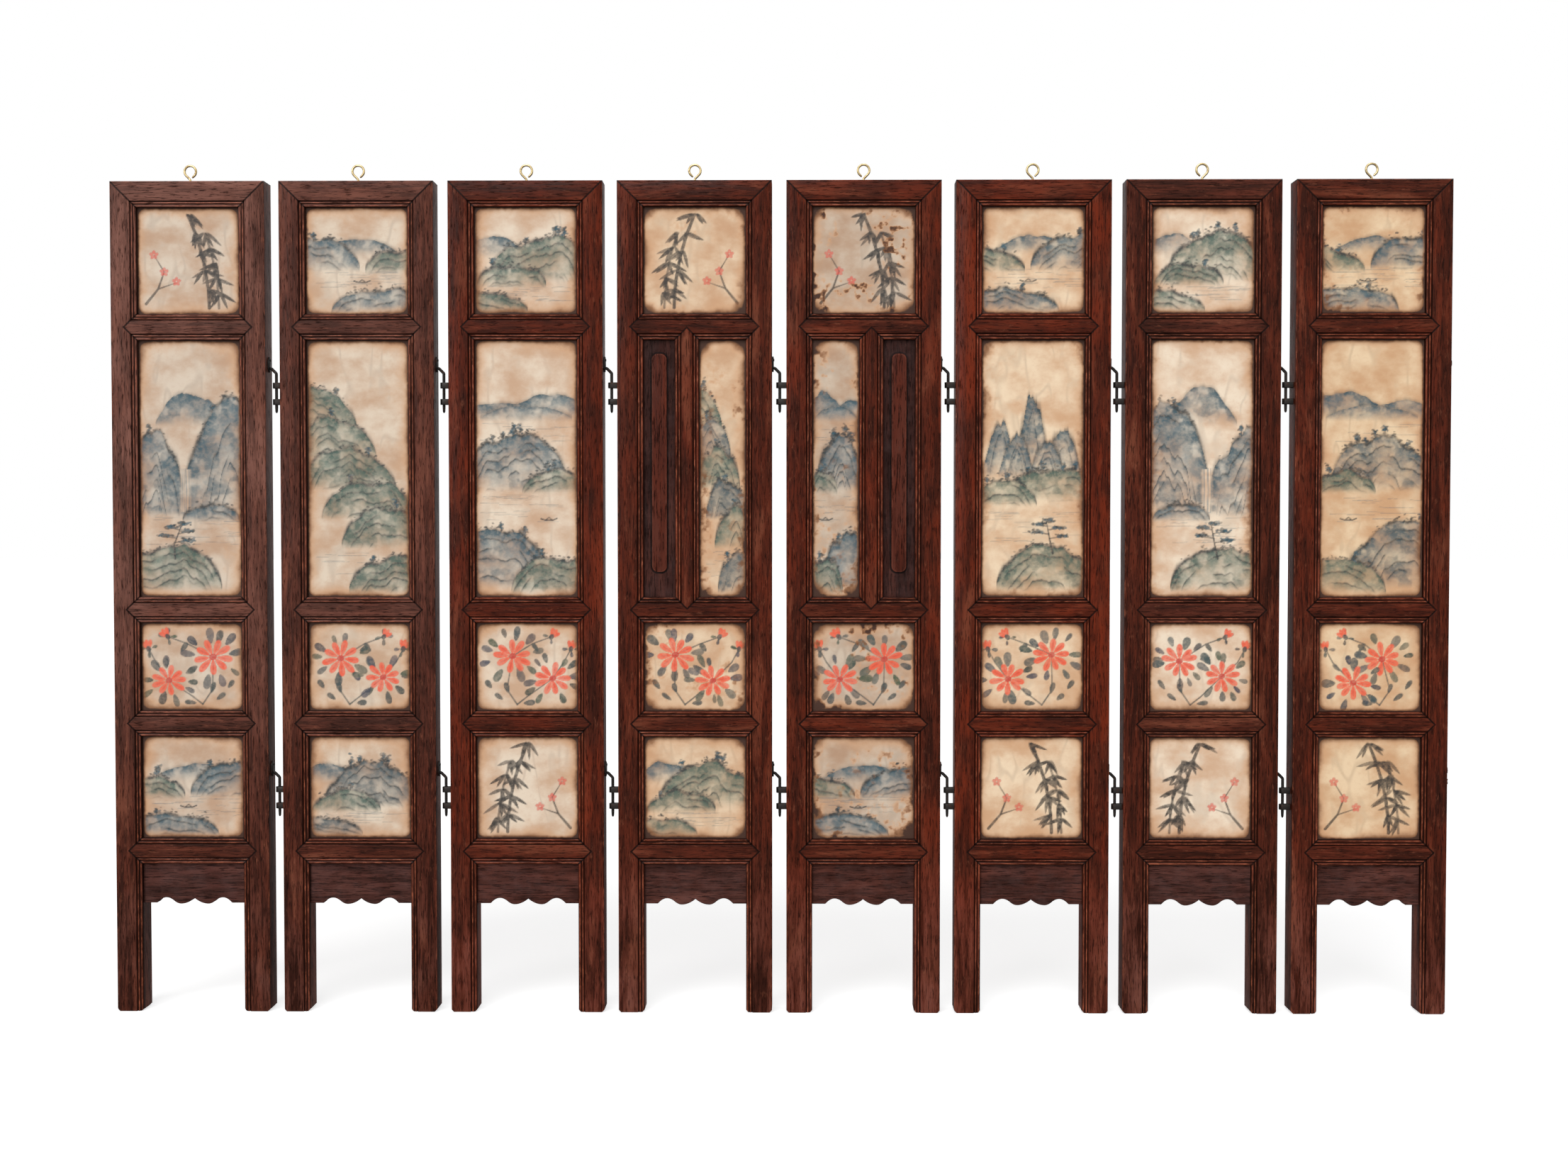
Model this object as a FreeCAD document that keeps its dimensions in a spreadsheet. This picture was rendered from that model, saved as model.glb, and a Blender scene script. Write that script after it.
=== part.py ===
"""Chinese table screen of eight hinged hardwood panels with painted stone plaques.

Every size is in millimetres. +X runs along the row, -Y is the painted front and +Z is up. The origin is
under the middle of the row, on the surface that the sixteen legs stand on. The panels stand in one straight
row. Each panel is drawn once, about its own middle, and its pieces are then placed along the row.
"""

import FreeCAD, Part
import math
import os
import Sketcher

SIZES = {
    "panel_width": (87.2, "one panel over its stiles"),
    "panel_height": (471.0, "floor to the top of the frame"),
    "panel_depth": (14.0, "front to back of the frame"),
    "panel_gap": (8.2, "between two neighbouring panels"),
    "stile_width": (14.7, "upright, with its moulding"),
    "rail_width": (14.7, "top rail and cross rails, with their mouldings"),
    "opening_top": (60.0, "height of the upper square opening"),
    "opening_tall": (145.0, "height of the tall opening"),
    "opening_flowers": (50.0, "height of the small opening"),
    "opening_low": (58.0, "height of the lower square opening"),
    "groove_front": (2.5, "front face to the plaque groove, also the depth of the pointed shoulders"),
    "groove_width": (6.0, "width of the groove that holds the plaques"),
    "groove_depth": (2.6, "depth of the groove that holds the plaques"),
    "plaque_side_gap": (0.4, "room in the groove past a plaque's edge"),
    "plaque_face_gap": (0.1, "room in the groove before and behind a plaque"),
    "tenon_height": (8.0, "across a rail or mullion"),
    "tenon_length": (9.5, "past the opening's edge"),
    "mortise_gap": (0.15, "room round a tenon and at its end"),
    "mullion_width": (13.6, "upright bar inside the two middle panels"),
    "mullion_tenon": (4.5, "tenon of the mullion, past the opening's edge"),
    "blind_opening": (17.8, "width of the blind board's opening"),
    "strip_side": (4.6, "edge of the blind board's opening to the raised strip"),
    "strip_head": (7.6, "upper edge of the tall opening to the raised strip"),
    "strip_foot": (14.0, "lower edge of the tall opening to the raised strip"),
    "strip_height": (0.9, "raised strip above the blind board"),
    "strip_corner": (3.4, "corner radius of the strip"),
    "apron_drop": (22.8, "from the lowest rail to the apron's flat ends"),
    "scallop_rise": (3.0, "height of the scallops in the apron"),
    "foot_corner": (1.4, "bevel at the foot of each leg"),
    "eye_wire": (1.3, "diameter of the screw eye's wire"),
    "eye_radius": (3.25, "ring's radius to the middle of its wire"),
    "eye_height": (6.5, "frame's top to the ring's middle"),
    "eye_shank": (8.0, "screw eye in the wood"),
    "eye_hole_gap": (0.1, "room round the screw eye's shank"),
    "hinge_top": (102.6, "frame's top to the upper hook's leaf"),
    "hinge_low": (332.8, "frame's top to the lower hook's leaf"),
    "leaf_height": (8.8, "hook's leaf, up and down"),
    "leaf_depth": (5.0, "hook's leaf, front to back"),
    "leaf_thickness": (1.0, "hook's leaf"),
    "pin_diameter": (1.7, "hook's wire"),
    "pin_reach": (4.4, "stile's edge to the middle of the hanging pin"),
    "pin_drop": (27.4, "leaf's middle to the tip of the pin"),
    "pin_elbow": (1.6, "stile's edge to the hook's first bend"),
    "knuckle_upper": (11.9, "leaf's middle to the upper knuckle"),
    "knuckle_lower": (21.2, "leaf's middle to the lower knuckle"),
    "knuckle_height": (3.2, "strap of one knuckle, up and down"),
    "knuckle_strap": (0.9, "thickness of the knuckle's strap"),
    "knuckle_gap": (0.3, "room round the pin in a knuckle"),
    "knuckle_leg": (5.0, "strap in the wood"),
    "slot_gap": (0.05, "room round a strap in its slot"),
    "stub_reach": (0.8, "flattened knuckles on the first panel's free edge"),
    "broken_hook_reach": (2.0, "broken hooks on the last panel's free edge"),
}

# distance from the opening's edge and depth below the frame's face: two beads, each with a groove beside it
MOULDING = ((0.0, 0.9), (0.8, 0.25), (1.8, 0.85), (2.5, 0.2), (3.3, 0.85), (3.8, 0.0))
PANELS = 8
# the scalloped edge right of the middle, in shares of half the opening and of the scallops' height: each stretch
# is a parabola from its turning point (across, height) to its other end
SCALLOPS = (
    ((0.27, -0.2), (0.0, 0.87)),
    ((0.27, -0.2), (0.41, 0.4)),
    ((0.56, 1.0), (0.41, 0.4)),
    ((0.56, 1.0), (0.74, 0.0)),
)
SCALLOP_RUNS = 3  # straight runs in each stretch
SPLIT_PANELS = {4: -1, 5: 1}  # panels with a mullion, and the side on which their blind board lies
EYES_TURNED = (4, 5, 7)  # panels whose screw eye is turned half round
WIRE_SIDES = 6  # wires are drawn with six flats
KNUCKLE_FLATS = 3  # the bend of a knuckle's strap has three flats
RING_RUNS = 12  # a full ring is drawn as twelve short straight runs

doc = FreeCAD.newDocument("table_screen")
sheet = doc.addObject("Spreadsheet::Sheet", "Sizes")
for row, (alias, (number, note)) in enumerate(SIZES.items(), start=1):
    sheet.set(f"A{row}", alias)
    sheet.set(f"B{row}", str(number))
    sheet.set(f"C{row}", note)
    sheet.setAlias(f"B{row}", alias)
doc.recompute()


class Size:
    """A length together with the spreadsheet formula that gives it."""

    def __init__(self, number, formula):
        self.number = number
        self.formula = formula

    def joined(self, sign, other, number):
        return Size(number, f"({self.formula} {sign} {other.formula})")

    def __add__(self, other):
        other = as_size(other)
        return self.joined("+", other, self.number + other.number)

    def __sub__(self, other):
        other = as_size(other)
        return self.joined("-", other, self.number - other.number)

    def __mul__(self, other):
        other = as_size(other)
        return self.joined("*", other, self.number * other.number)

    def __truediv__(self, other):
        other = as_size(other)
        return self.joined("/", other, self.number / other.number)

    def __rsub__(self, other):
        return as_size(other) - self

    def __neg__(self):
        return as_size(0) - self

    __radd__ = __add__
    __rmul__ = __mul__


def as_size(thing):
    return thing if isinstance(thing, Size) else Size(float(thing), repr(float(thing)))


def size(alias):
    return Size(float(SIZES[alias][0]), f"Sizes.{alias}")


HALF_PANEL = size("panel_width") / 2
HALF_OPENING = HALF_PANEL - size("stile_width")
HALF_DEPTH = size("panel_depth") / 2
HEIGHT = size("panel_height")
RAIL = size("rail_width")
GROOVE_FRONT = size("groove_front") - HALF_DEPTH
GROOVE_BACK = GROOVE_FRONT + size("groove_width")
PITCH = size("panel_width") + size("panel_gap")
PLAQUE_FRONT = GROOVE_FRONT + size("plaque_face_gap")
PLAQUE_DEPTH = size("groove_width") - 2 * size("plaque_face_gap")
PLAQUE_EDGE = size("groove_depth") - size("plaque_side_gap")

# the lower edge of each opening and the middle of each cross rail, from the top down
OPENINGS = {}
CROSS_RAILS = {}
level = HEIGHT - RAIL
for opening, rail in (
    ("opening_top", "rail_one"),
    ("opening_tall", "rail_two"),
    ("opening_flowers", "rail_three"),
    ("opening_low", "rail_four"),
):
    level = level - size(opening)
    OPENINGS[opening] = level
    CROSS_RAILS[rail] = level - RAIL / 2
    level = level - RAIL
APRON_TOP = level
APRON_FLAT = APRON_TOP - size("apron_drop")


def new_body(name):
    return doc.addObject("PartDesign::Body", name)


def plane_of(body, role):
    return next(feature for feature in body.Origin.OriginFeatures if feature.Role == role)


def new_sketch(body, name, role, offset=None):
    """A sketch on one of the body's own planes, moved along the plane's normal by offset."""
    sketch = body.newObject("Sketcher::SketchObject", f"{body.Name}_{name}")
    sketch.AttachmentSupport = (plane_of(body, role), [""])
    sketch.MapMode = "FlatFace"
    if offset is not None:
        sketch.setExpression("AttachmentOffset.Base.z", offset.formula)
    return sketch


def bind(sketch, kind, *where, value):
    """Add a dimension to the sketch and tie it to its formula."""
    number = sketch.addConstraint(Sketcher.Constraint(kind, *where, value.number))
    sketch.setExpression(f"Constraints[{number}]", value.formula)


def arc_between(start, end, radius):
    """The short arc from start to end. A positive radius turns left, a negative one turns right."""
    chord = end - start
    reach = math.sqrt(max(radius * radius - chord.Length ** 2 / 4, 0.0))
    left = FreeCAD.Vector(-chord.y, chord.x, 0).normalize()
    side = 1 if radius > 0 else -1
    centre = (start + end) / 2 + left * reach * side
    bulge = centre - left * abs(radius) * side
    return Part.Arc(start, bulge, end), centre


def draw(sketch, corners, closed=True):
    """Draw an outline through corners (across, up, radius of the arc that follows or None)."""
    points = [(as_size(corner[0]), as_size(corner[1])) for corner in corners]
    bends = [corner[2] if len(corner) > 2 else None for corner in corners]
    vectors = [FreeCAD.Vector(across.number, up.number, 0) for across, up in points]
    count = len(points) if closed else len(points) - 1
    edges = []
    for i in range(count):
        start, end = vectors[i], vectors[(i + 1) % len(vectors)]
        if bends[i] is None:
            edges.append((sketch.addGeometry(Part.LineSegment(start, end), False), 1, 2))
            continue
        bend = as_size(bends[i])
        arc, _ = arc_between(start, end, bend.number)
        edge = sketch.addGeometry(arc, False)
        # an arc is always stored turning left, so one that turns right begins at its second end
        edges.append((edge, 1, 2) if bend.number > 0 else (edge, 2, 1))
        radius = bend if bend.number > 0 else -bend
        bind(sketch, "Radius", edge, value=radius)
    for i in range(len(edges) if closed else len(edges) - 1):
        edge, _, last = edges[i]
        following, first, _ = edges[(i + 1) % len(edges)]
        sketch.addConstraint(Sketcher.Constraint("Coincident", edge, last, following, first))
    for i, (across, up) in enumerate(points):
        edge, spot, _ = edges[i] if i < len(edges) else (edges[-1][0], edges[-1][2], None)
        bind(sketch, "DistanceX", -1, 1, edge, spot, value=across)
        bind(sketch, "DistanceY", -1, 1, edge, spot, value=up)
    return sketch


def rectangle(left, low, right, high):
    return [(left, low), (right, low), (right, high), (left, high)]


def draw_wire_section(sketch, across, up, radius):
    """The cross-section of a wire, with its corners on radius."""
    turns = [2 * math.pi * (i + 0.5) / WIRE_SIDES for i in range(WIRE_SIDES)]
    return draw(sketch, [(across + radius * math.cos(turn), up + radius * math.sin(turn)) for turn in turns])


def pad(body, name, sketch, length, midplane=False, backward=False):
    feature = body.newObject("PartDesign::Pad", f"{body.Name}_{name}")
    feature.Profile = sketch
    feature.setExpression("Length", length.formula)
    feature.Midplane = midplane
    feature.Reversed = backward
    return feature


def pocket(body, name, sketch, length=None, midplane=False, backward=False):
    """Cut the sketch's outlines out of the body, by length or right through."""
    feature = body.newObject("PartDesign::Pocket", f"{body.Name}_{name}")
    feature.Profile = sketch
    if length is None:
        feature.Type = 1
    else:
        feature.setExpression("Length", length.formula)
    feature.Midplane = midplane
    feature.Reversed = backward
    return feature


def stile_section(side):
    """Outline of an upright, seen from above. side is -1 on the left and 1 on the right."""
    front = [((HALF_OPENING + reach) * side, depth - HALF_DEPTH) for reach, depth in MOULDING]
    inner = HALF_OPENING * side
    outer = HALF_PANEL * side
    return front + [(outer, -HALF_DEPTH), (outer, HALF_DEPTH), (inner, HALF_DEPTH)]


def make_stile(name, side, edge_slots):
    """An upright with its leg: moulded inner edge, plaque groove, mitred head and mortises."""
    body = new_body(name)
    inner = HALF_OPENING * side
    pad(body, "blank", draw(new_sketch(body, "section", "XY_Plane"), stile_section(side)), HEIGHT)

    head = new_sketch(body, "head", "XZ_Plane")
    draw(head, [(inner, HEIGHT - RAIL), (inner, HEIGHT), (HALF_PANEL * side, HEIGHT)])
    pocket(body, "mitre", head, midplane=True)

    foot = new_sketch(body, "foot", "XZ_Plane")
    bevel = size("foot_corner")
    for corner, inward in ((inner, side), (HALF_PANEL * side, -side)):
        draw(foot, [(corner, 0), (corner + bevel * inward, 0), (corner, bevel)])
    pocket(body, "foot_bevels", foot, midplane=True)

    groove = new_sketch(body, "groove", "YZ_Plane")
    draw(groove, rectangle(GROOVE_FRONT, APRON_FLAT, GROOVE_BACK, HEIGHT - RAIL + size("groove_depth")))
    pocket(body, "plaque_groove", groove, HALF_OPENING + size("groove_depth"), backward=side > 0)

    notches = new_sketch(body, "notches", "XZ_Plane", HALF_DEPTH)
    mortises = new_sketch(body, "mortises", "YZ_Plane")
    reach = size("tenon_height") / 2 + size("mortise_gap")
    for middle in CROSS_RAILS.values():
        tip = (HALF_OPENING + RAIL / 2) * side
        draw(notches, [(inner, middle - RAIL / 2), (tip, middle), (inner, middle + RAIL / 2)])
        draw(mortises, rectangle(GROOVE_FRONT, middle - reach, GROOVE_BACK, middle + reach))
    middle = HEIGHT - RAIL / 2
    draw(mortises, rectangle(GROOVE_FRONT, middle - reach, GROOVE_BACK, middle + reach))
    pocket(body, "shoulder_notches", notches, size("groove_front"))
    length = HALF_OPENING + size("tenon_length") + size("mortise_gap")
    pocket(body, "tenon_mortises", mortises, length, backward=side > 0)

    if edge_slots:
        slots = new_sketch(body, "slots", "YZ_Plane", HALF_PANEL * side)
        across = KNUCKLE_OUTER + size("slot_gap")
        reach = size("knuckle_height") / 2 + size("slot_gap")
        for middle in KNUCKLES:
            draw(slots, rectangle(-across, middle - reach, across, middle + reach))
        depth = size("knuckle_leg") + size("slot_gap")
        pocket(body, "knuckle_slots", slots, depth, backward=side < 0)
    return body


def rail_section(middle, upper_moulded=True):
    """Outline of a rail across its length, (depth, height), with a groove in each edge that holds a plaque."""
    low, high = middle - RAIL / 2, middle + RAIL / 2
    below = [(depth - HALF_DEPTH, low + reach) for reach, depth in MOULDING]
    above = [(depth - HALF_DEPTH, high - reach) for reach, depth in reversed(MOULDING)]
    lower_groove = [
        (HALF_DEPTH, low),
        (GROOVE_BACK, low),
        (GROOVE_BACK, low + size("groove_depth")),
        (GROOVE_FRONT, low + size("groove_depth")),
        (GROOVE_FRONT, low),
    ]
    upper_groove = [
        (GROOVE_FRONT, high),
        (GROOVE_FRONT, high - size("groove_depth")),
        (GROOVE_BACK, high - size("groove_depth")),
        (GROOVE_BACK, high),
        (HALF_DEPTH, high),
    ]
    if upper_moulded:
        return below + above + upper_groove + lower_groove
    return below + [(-HALF_DEPTH, high), (HALF_DEPTH, high)] + lower_groove


def add_tenons(body, middle):
    """One tenon through the rail's core, standing out at both ends."""
    sketch = new_sketch(body, "tenons", "YZ_Plane")
    reach = size("tenon_height") / 2
    back = GROOVE_BACK - size("mortise_gap")
    draw(sketch, rectangle(GROOVE_FRONT, middle - reach, back, middle + reach))
    pad(body, "tenon", sketch, 2 * (HALF_OPENING + size("tenon_length")), midplane=True)


def make_cross_rail(name, middle, mullion_edge=0, mullion_middle=None):
    """A rail whose ends are points with 45 degree shoulders. mullion_edge is -1 or 1 where a mullion meets it."""
    body = new_body(name)
    tip = HALF_OPENING + RAIL / 2
    section = draw(new_sketch(body, "section", "YZ_Plane"), rail_section(middle))
    pad(body, "blank", section, 2 * tip, midplane=True)

    corners = new_sketch(body, "corners", "XZ_Plane")
    for side in (-1, 1):
        for edge in (-1, 1):
            level = middle + RAIL / 2 * edge
            draw(corners, [(HALF_OPENING * side, level), (tip * side, level), (tip * side, middle)])
    pocket(body, "points", corners, midplane=True)

    backs = new_sketch(body, "backs", "XZ_Plane", -GROOVE_FRONT)
    for side in (-1, 1):
        low, high = middle - RAIL / 2, middle + RAIL / 2
        draw(backs, rectangle(HALF_OPENING * side, low, tip * side, high))
    pocket(body, "butt_shoulders", backs)
    add_tenons(body, middle)

    if mullion_edge:
        half = size("mullion_width") / 2
        edge = middle + RAIL / 2 * mullion_edge
        notch = new_sketch(body, "notch", "XZ_Plane", HALF_DEPTH)
        point = edge - half * mullion_edge
        draw(notch, [(mullion_middle - half, edge), (mullion_middle, point), (mullion_middle + half, edge)])
        pocket(body, "mullion_notch", notch, size("groove_front"))
        mortise = new_sketch(body, "mortise", "XY_Plane", edge)
        reach = MULLION_TENON / 2 + size("mortise_gap")
        draw(mortise, rectangle(mullion_middle - reach, GROOVE_FRONT, mullion_middle + reach, GROOVE_BACK))
        depth = size("mullion_tenon") + size("mortise_gap")
        pocket(body, "mullion_mortise", mortise, depth, backward=mullion_edge < 0)
    return body


def make_top_rail(name):
    """The head of the frame: mitred to both stiles, with a hole for the screw eye."""
    body = new_body(name)
    middle = HEIGHT - RAIL / 2
    section = draw(new_sketch(body, "section", "YZ_Plane"), rail_section(middle, upper_moulded=False))
    pad(body, "blank", section, 2 * HALF_PANEL, midplane=True)
    ends = new_sketch(body, "ends", "XZ_Plane")
    for side in (-1, 1):
        low = HEIGHT - RAIL
        draw(ends, [(HALF_OPENING * side, low), (HALF_PANEL * side, low), (HALF_PANEL * side, HEIGHT)])
    pocket(body, "mitres", ends, midplane=True)
    add_tenons(body, middle)
    hole = new_sketch(body, "hole", "XY_Plane", HEIGHT)
    draw_wire_section(hole, as_size(0), as_size(0), size("eye_wire") / 2 + size("eye_hole_gap"))
    pocket(body, "eye_hole", hole, size("eye_shank") + size("eye_hole_gap"))
    return body


def make_mullion(name, middle):
    """The upright bar between a blind board and a narrow plaque, moulded and grooved on both edges."""
    body = new_body(name)
    half = size("mullion_width") / 2
    low, high = OPENINGS["opening_tall"], OPENINGS["opening_tall"] + size("opening_tall")
    depth = size("groove_depth")
    outline = []
    for side in (-1, 1):
        edge = middle + half * side
        moulding = [(edge - reach * side, deep - HALF_DEPTH) for reach, deep in MOULDING]
        groove = [
            (edge, HALF_DEPTH),
            (edge, GROOVE_BACK),
            (edge - depth * side, GROOVE_BACK),
            (edge - depth * side, GROOVE_FRONT),
            (edge, GROOVE_FRONT),
        ]
        outline += groove + moulding if side < 0 else (groove + moulding)[::-1]
    section = draw(new_sketch(body, "section", "XY_Plane", low - half), outline)
    pad(body, "blank", section, size("opening_tall") + 2 * half)

    corners = new_sketch(body, "corners", "XZ_Plane")
    backs = new_sketch(body, "backs", "XZ_Plane", -GROOVE_FRONT)
    for end, outward in ((low, -1), (high, 1)):
        tip = end + half * outward
        for side in (-1, 1):
            draw(corners, [(middle + half * side, end), (middle + half * side, tip), (middle, tip)])
        draw(backs, rectangle(middle - half, end, middle + half, tip))
    pocket(body, "points", corners, midplane=True)
    pocket(body, "butt_shoulders", backs)

    reach = MULLION_TENON / 2
    tenon = new_sketch(body, "tenon_section", "XY_Plane", low - size("mullion_tenon"))
    back = GROOVE_BACK - size("mortise_gap")
    draw(tenon, rectangle(middle - reach, GROOVE_FRONT, middle + reach, back))
    pad(body, "tenons", tenon, size("opening_tall") + 2 * size("mullion_tenon"))
    return body


def make_plaque(name, left, low, width, height):
    """A stone plaque, lapped into the grooves round its opening."""
    box = doc.addObject("Part::Box", name)
    box.setExpression("Length", (width + 2 * PLAQUE_EDGE).formula)
    box.setExpression("Width", PLAQUE_DEPTH.formula)
    box.setExpression("Height", (height + 2 * PLAQUE_EDGE).formula)
    box.setExpression("Placement.Base.x", (left - PLAQUE_EDGE).formula)
    box.setExpression("Placement.Base.y", PLAQUE_FRONT.formula)
    box.setExpression("Placement.Base.z", (low - PLAQUE_EDGE).formula)
    return box


def make_blind_board(name, left, width):
    """The wooden board beside the narrow plaque, with a raised strip whose corners are rounded."""
    body = new_body(name)
    low, high = OPENINGS["opening_tall"], OPENINGS["opening_tall"] + size("opening_tall")
    board = new_sketch(body, "board", "XZ_Plane", -PLAQUE_FRONT)
    edge = PLAQUE_EDGE
    draw(board, rectangle(left - edge, low - edge, left + width + edge, high + edge))
    pad(body, "panel", board, PLAQUE_DEPTH, backward=True)
    strip = new_sketch(body, "strip", "XZ_Plane", -PLAQUE_FRONT)
    centre, half, corner = left + width / 2, width / 2 - size("strip_side"), size("strip_corner")
    foot, top = low + size("strip_foot"), high - size("strip_head")
    draw(strip, [
        (centre - half, foot + corner, corner),
        (centre - half + corner, foot),
        (centre + half - corner, foot, corner),
        (centre + half, foot + corner),
        (centre + half, top - corner, corner),
        (centre + half - corner, top),
        (centre - half + corner, top, corner),
        (centre - half, top - corner),
    ])
    pad(body, "raised_strip", strip, size("strip_height"))
    return body


def scallop_height(across):
    """Height of the apron's lower edge above its flat ends, as a share of the scallops' height."""
    for (turn, level), (end, end_level) in SCALLOPS:
        if min(turn, end) <= across <= max(turn, end):
            return level + (end_level - level) * ((across - turn) / (end - turn)) ** 2
    return 0.0


def make_apron(name):
    """The board under the lowest rail. Its lower edge has a middle cusp, and a lobe and a hollow on each side."""
    body = new_body(name)
    half = HALF_OPENING + PLAQUE_EDGE
    top = APRON_TOP + PLAQUE_EDGE
    knots = [0.0]
    for ends in SCALLOPS:
        first, last = sorted(across for across, _ in ends)
        knots += [first + (last - first) * run / SCALLOP_RUNS for run in range(1, SCALLOP_RUNS + 1)]
    edge = [(HALF_OPENING * across, APRON_FLAT + size("scallop_rise") * scallop_height(across)) for across in knots]
    mirrored = [(-across, up) for across, up in edge[:0:-1]]
    outline = edge + [(half, APRON_FLAT), (half, top), (-half, top), (-half, APRON_FLAT)] + mirrored
    sketch = draw(new_sketch(body, "board", "XZ_Plane", -PLAQUE_FRONT), outline)
    pad(body, "panel", sketch, PLAQUE_DEPTH, backward=True)
    return body


def add_wire(body, path, section):
    """Carry the section along the path, with a mitred corner where the path turns."""
    feature = body.newObject("PartDesign::AdditivePipe", f"{body.Name}_wire")
    feature.Profile = section
    feature.Spine = path
    feature.Transition = "Right corner"
    return feature


def make_screw_eye(name):
    """A brass wire eye. Its shank leans into a ring that faces the front and stops short of the shank."""
    body = new_body(name)
    ring, wire = size("eye_radius"), size("eye_wire")
    foot = HEIGHT - size("eye_shank")
    centre = HEIGHT + size("eye_height")
    lean = math.cos(math.radians(45))
    corners = [(as_size(0), foot), (as_size(0), centre - ring * 2 * lean)]
    for i in range(RING_RUNS * 3 // 4 + 1):
        turn = math.radians(225) - 2 * math.pi * i / RING_RUNS
        corners.append((ring * math.cos(turn), centre + ring * math.sin(turn)))
    corners.append((ring * (lean - 0.4), centre - ring * (lean + 0.4)))
    path = draw(new_sketch(body, "path", "XZ_Plane"), corners, closed=False)
    section = draw_wire_section(new_sketch(body, "section", "XY_Plane", foot), as_size(0), as_size(0), wire / 2)
    add_wire(body, path, section)
    return body


def make_hook(name, middle):
    """A hook on the stile's right edge: a leaf, and a wire that bows out and hangs down as the hinge pin."""
    body = new_body(name)
    half, tall = size("leaf_depth") / 2, size("leaf_height") / 2
    leaf = new_sketch(body, "leaf", "YZ_Plane", HALF_PANEL)
    draw(leaf, [
        (-half, middle - tall / 2), (0, middle - tall), (half, middle - tall / 2),
        (half, middle + tall / 2), (0, middle + tall), (-half, middle + tall / 2),
    ])
    pad(body, "plate", leaf, size("leaf_thickness"))
    start = HALF_PANEL + size("leaf_thickness") / 2
    elbow = HALF_PANEL + size("pin_elbow")
    pin = HALF_PANEL + size("pin_reach")
    level = middle - tall / 2
    path = new_sketch(body, "path", "XZ_Plane")
    draw(path, [(start, level), (elbow, level), (pin, level - (pin - elbow)), (pin, middle - size("pin_drop"))],
         closed=False)
    section = new_sketch(body, "section", "YZ_Plane", start)
    add_wire(body, path, draw_wire_section(section, as_size(0), level, size("pin_diameter") / 2))
    return body


KNUCKLE_INNER = size("pin_diameter") / 2 + size("knuckle_gap")
KNUCKLE_OUTER = KNUCKLE_INNER + size("knuckle_strap")
PIN_FROM_NEXT = size("panel_gap") - size("pin_reach")
HOOKS = [HEIGHT - size("hinge_top"), HEIGHT - size("hinge_low")]
KNUCKLES = [hook - size(drop) for hook in HOOKS for drop in ("knuckle_upper", "knuckle_lower")]
MULLION_TENON = size("mullion_width") - 2 * size("groove_depth") - 2 * size("mortise_gap")


def make_knuckle(name, middle):
    """A strap bent into an eye round the neighbour's pin. Both its ends go into one slot in the stile."""
    body = new_body(name)
    end = -HALF_PANEL + size("knuckle_leg")
    pin = -HALF_PANEL - PIN_FROM_NEXT
    turns = [math.pi * (0.5 + i / KNUCKLE_FLATS) for i in range(KNUCKLE_FLATS + 1)]
    outside = [(pin + KNUCKLE_OUTER * math.cos(turn), KNUCKLE_OUTER * math.sin(turn)) for turn in turns]
    inside = [(pin + KNUCKLE_INNER * math.cos(turn), KNUCKLE_INNER * math.sin(turn)) for turn in turns]
    sketch = new_sketch(body, "strap", "XY_Plane", middle - size("knuckle_height") / 2)
    draw(sketch, [(end, KNUCKLE_OUTER)] + outside + [(end, -KNUCKLE_OUTER), (end, -KNUCKLE_INNER)]
         + inside[::-1] + [(end, KNUCKLE_INNER)])
    pad(body, "bent_strap", sketch, size("knuckle_height"))
    return body


def make_block(name, left, middle, length, depth, height):
    """A plain block centred on the panel's depth, for worn and broken hinge pieces."""
    box = doc.addObject("Part::Box", name)
    box.setExpression("Length", length.formula)
    box.setExpression("Width", depth.formula)
    box.setExpression("Height", height.formula)
    box.setExpression("Placement.Base.x", left.formula)
    box.setExpression("Placement.Base.y", (-(depth / 2)).formula)
    box.setExpression("Placement.Base.z", (middle - height / 2).formula)
    return box


def place(name, pieces, panel, turned=False):
    """The named sub-part: its pieces, moved to their panel's place in the row."""
    node = doc.addObject("Part::Compound", name)
    node.Label = name
    node.Links = pieces
    if turned:
        node.Placement = FreeCAD.Placement(FreeCAD.Vector(), FreeCAD.Rotation(FreeCAD.Vector(0, 0, 1), 180))
    node.setExpression("Placement.Base.x", (PITCH * (panel - (PANELS + 1) / 2)).formula)
    return node


left_stile = make_stile("left_stile", -1, edge_slots=True)
right_stile = make_stile("right_stile", 1, edge_slots=False)
top_rail = make_top_rail("top_rail")
rails = {name: make_cross_rail(name, middle) for name, middle in CROSS_RAILS.items()}
apron = make_apron("apron")
eye = make_screw_eye("screw_eye")
hooks = [make_hook(f"hook_{i}", middle) for i, middle in enumerate(HOOKS, start=1)]
knuckles = [make_knuckle(f"knuckle_{i}", middle) for i, middle in enumerate(KNUCKLES, start=1)]

width = 2 * HALF_OPENING
plaques = {
    opening: make_plaque(f"plaque_{opening}", -HALF_OPENING, low, width, size(opening))
    for opening, low in OPENINGS.items()
}

STRAP_WIDTH = 2 * KNUCKLE_OUTER
flat_knuckles = [
    make_block(
        f"flat_knuckle_{i}", -HALF_PANEL - size("stub_reach"), middle,
        size("stub_reach") + size("knuckle_leg"), STRAP_WIDTH, size("knuckle_height"),
    )
    for i, middle in enumerate(KNUCKLES, start=1)
]
broken_hooks = [
    make_block(
        f"broken_hook_{i}", HALF_PANEL, middle,
        size("broken_hook_reach"), size("leaf_depth"), size("knuckle_height"),
    )
    for i, middle in enumerate((HOOKS[0], HOOKS[1], HOOKS[1] - 2 * size("knuckle_height")), start=1)
]

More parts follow.
